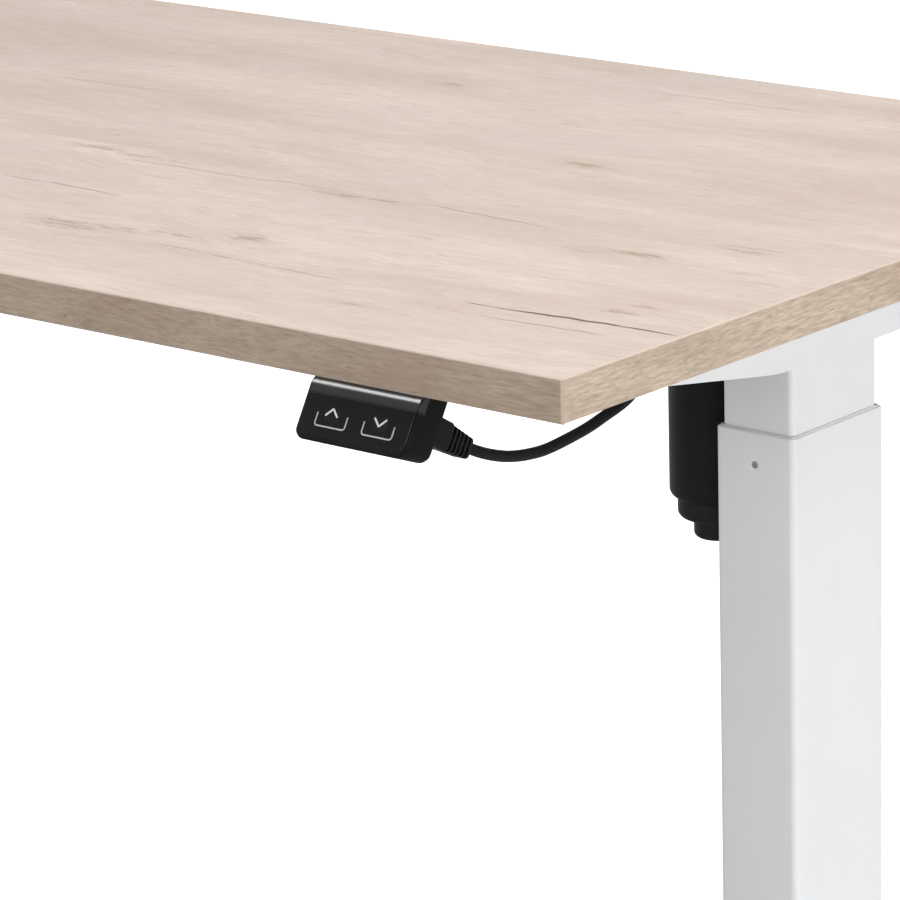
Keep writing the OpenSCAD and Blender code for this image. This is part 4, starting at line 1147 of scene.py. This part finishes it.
class DESK_OT_rails(bpy.types.Operator):
    """Builds the two crossbeam rails with their end plates"""

    bl_idname = "desk.rails"
    bl_label = "Rails"

    def execute(self, context):
        wall, plate = 2, 3
        for name, way in (("front", -1), ("rear", 1)):
            low, high = span("rail_" + name)
            back, open_side = (high[1], low[1]) if way > 0 else (low[1], high[1])
            inward = -way
            corners = [
                (open_side, low[2]), (back, low[2]), (back, high[2]), (open_side, high[2]),
                (open_side, high[2] - wall), (back + inward * wall, high[2] - wall),
                (back + inward * wall, low[2] + wall), (open_side, low[2] + wall),
            ]
            flat = rounded_outline(corners, (0.5, 2.6, 2.6, 0.5, 0.5, 0.7, 0.7, 0.5), 6)
            beam = np.array([
                np.concatenate([np.full((len(flat), 1), x), flat], 1) for x in (low[0] + 0.5, high[0] - 0.5)
            ])
            ends = [
                block([x, low[1], low[2]], [x + plate, high[1], high[2]], 0, 1.2, 0.3)
                for x in (low[0], high[0] - plate)
            ]
            piece("rail_beam_" + name, [shell(part) for part in [beam, *ends]], "top",
                  "white_powder_coat", stands_for=["rail_" + name])
        return {"FINISHED"}


class DESK_OT_feet(bpy.types.Operator):
    """Builds the two feet and their four levelling glides"""

    bl_idname = "desk.feet"
    bl_label = "Feet"

    def execute(self, context):
        low, high = span("foot_right")
        wall, drop, flat_half = 2.5, 6, 55
        glide_y, lug_half = 262, 16
        half = (high[0] - low[0]) / 2
        y = np.concatenate([
            np.linspace(low[1] + 1.2, -flat_half, 12), np.linspace(flat_half, high[1] - 1.2, 12)])
        fall = drop * np.clip((np.abs(y) - flat_half) / (high[1] - flat_half), 0, 1)
        lower = np.full((len(y), 2), low[2])
        for name, side in SIDES.items():
            beam = channel(y, high[2] - fall, lower, half, wall, wall, 3)
            beam[..., 0] += LEG_X
            ends = [
                block([low[0], end_y, low[2]], [high[0], end_y + wall, high[2] - drop], 1, 3, 1.1)
                for end_y in (low[1], high[1] - wall)
            ]
            lugs = [
                block([low[0] + 1, middle - lug_half, low[2] + 0.02],
                      [high[0] - 1, middle + lug_half, low[2] + 6], 2, 1, 0.3)
                for middle in (-glide_y, glide_y)
            ]
            piece("foot_beam_" + name, [shell(mirrored(part, side)) for part in [beam, *ends, *lugs]],
                  name + "_leg", "white_powder_coat", stands_for=["foot_" + name])
            for end in ("front", "rear"):
                glide_low, glide_high = span(f"glide_{end}_{name}")
                centre = (*((glide_low + glide_high) / 2)[:2], 0)
                pad = rounded_outline([(0.2, 0), (20, 0), (20, 7), (9.5, 7.6), (9.5, 9), (0.2, 9)],
                                      (0, 1.2, 2.2, 0.8, 0.4, 0), 7)[6:-6]
                stud = rounded_outline([(0.2, 8), (4, 8), (4, glide_high[2]), (0.2, glide_high[2])],
                                       (0, 0.1, 0.6, 0), 5)[4:-4]
                nut = turned([(8, 8.5), (9, 9), (9, 13.4), (8, 13.9)], centre, 6)
                piece(f"levelling_glide_{end}_{name}",
                      [shell(turned(pad, centre)), shell(turned(stud, centre, 32)), shell(nut)],
                      f"glide_{end}_{name}", "glide_rubber", stands_for=[f"glide_{end}_{name}"])
        return {"FINISHED"}


class DESK_OT_screws(bpy.types.Operator):
    """Builds the screws under the worktop, with domed heads and cross recesses"""

    bl_idname = "desk.screws"
    bl_label = "Screws"

    def execute(self, context):
        plate = 2.5
        under_support = [
            (side * LEG_X, y, UNDER_Z - plate) for side in (-1, 1) for y in (-210, -120, 120, 210)
        ]
        under_rail = [(x, way * 55, UNDER_Z - 2) for way in (-1, 1) for x in (-360, 0, 360)]
        piece("worktop_screws", [s for place in under_support + under_rail for s in wood_screw(place)],
              "top", "zinc_steel", stands_for=["board_screws"])
        low, high = span("control_box_screws")
        box_places = [(low[0] + 4.2, low[1] + 4.2, UNDER_Z - 3), (high[0] - 4.2, low[1] + 4.2, UNDER_Z - 3)]
        piece("box_screws", [s for place in box_places for s in wood_screw(place)],
              "top", "zinc_steel", stands_for=["control_box_screws"])
        hand_places = [(HAND_TOP[0] + x, HAND_TOP[1] + 41, UNDER_Z - 3) for x in (-15, 15)]
        piece("hand_screws", [s for place in hand_places for s in wood_screw(place)],
              "top", "zinc_steel", stands_for=["handset_screws"])
        return {"FINISHED"}


def wood_screw(place):
    """Head and shank of a screw that points up, with its head's seat at place."""
    shank = rounded_outline([(0.3, -0.5), (2.1, -0.5), (2.1, 10), (0.3, 14)], (0, 0.1, 0.3, 0), 4)[3:-3]
    return [shell(cross_head(place, 4.2, 2.5, 2, -1)), shell(turned(shank, place, 20))]


class DESK_OT_glint(bpy.types.Operator):
    """Sets a small light that only the handset's case takes"""

    bl_idname = "desk.glint"
    bl_label = "Handset light"

    def execute(self, context):
        light = bpy.data.lights.new("glint", "SUN")
        light.energy = context.scene.desk_stage.glint
        light.angle = math.radians(12)
        lamp = bpy.data.objects.new("glint", light)
        towards = Vector((-0.62, -0.28, 0.73))
        lamp.rotation_euler = towards.to_track_quat("Z", "Y").to_euler()
        context.scene.collection.objects.link(lamp)
        lit = bpy.data.collections.new("glint_on")
        lit.objects.link(bpy.data.objects["handset_case"])
        lamp.light_linking.receiver_collection = lit
        lamp.light_linking.blocker_collection = lit
        return {"FINISHED"}


class DESK_OT_finishes(bpy.types.Operator):
    """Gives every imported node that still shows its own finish"""

    bl_idname = "desk.finishes"
    bl_label = "Finishes"

    def execute(self, context):
        for part in frame["record"]["subparts"]:
            node = frame["nodes"][part["node"]]
            for index in range(len(node.material_slots)):
                node.material_slots[index].material = material_for(part["material_slot"])
        return {"FINISHED"}


class DESK_PT_panel(bpy.types.Panel):
    """Lists the desk's settings and its operators"""

    bl_label = "Standing desk"
    bl_idname = "DESK_PT_panel"
    bl_space_type = "VIEW_3D"
    bl_region_type = "UI"
    bl_category = "Desk"

    def draw(self, context):
        for group in (context.scene.desk_look, context.scene.desk_stage):
            for name in group.__annotations__:
                self.layout.prop(group, name)
        for operator in OPERATORS:
            self.layout.operator(operator.bl_idname)


OPERATORS = [
    DESK_OT_camera, DESK_OT_cable, DESK_OT_stage, DESK_OT_worktop, DESK_OT_columns, DESK_OT_supports,
    DESK_OT_motors, DESK_OT_handset, DESK_OT_buttons, DESK_OT_rails, DESK_OT_feet, DESK_OT_screws,
    DESK_OT_glint, DESK_OT_finishes,
]
CLASSES = [DeskLook, DeskStage, *OPERATORS, DESK_PT_panel]


def register():
    """Registers the classes and gives each scene the desk's settings."""
    for made in CLASSES:
        bpy.utils.register_class(made)
    bpy.types.Scene.desk_look = bpy.props.PointerProperty(type=DeskLook)
    bpy.types.Scene.desk_stage = bpy.props.PointerProperty(type=DeskStage)


def unregister():
    """Takes the settings and the classes away again."""
    del bpy.types.Scene.desk_stage
    del bpy.types.Scene.desk_look
    for made in reversed(CLASSES):
        bpy.utils.unregister_class(made)


def main():
    """Builds every piece in order."""
    register()
    for operator in OPERATORS:
        group, name = operator.bl_idname.split(".")
        getattr(getattr(bpy.ops, group), name)()


if __name__ == "__main__":
    main()
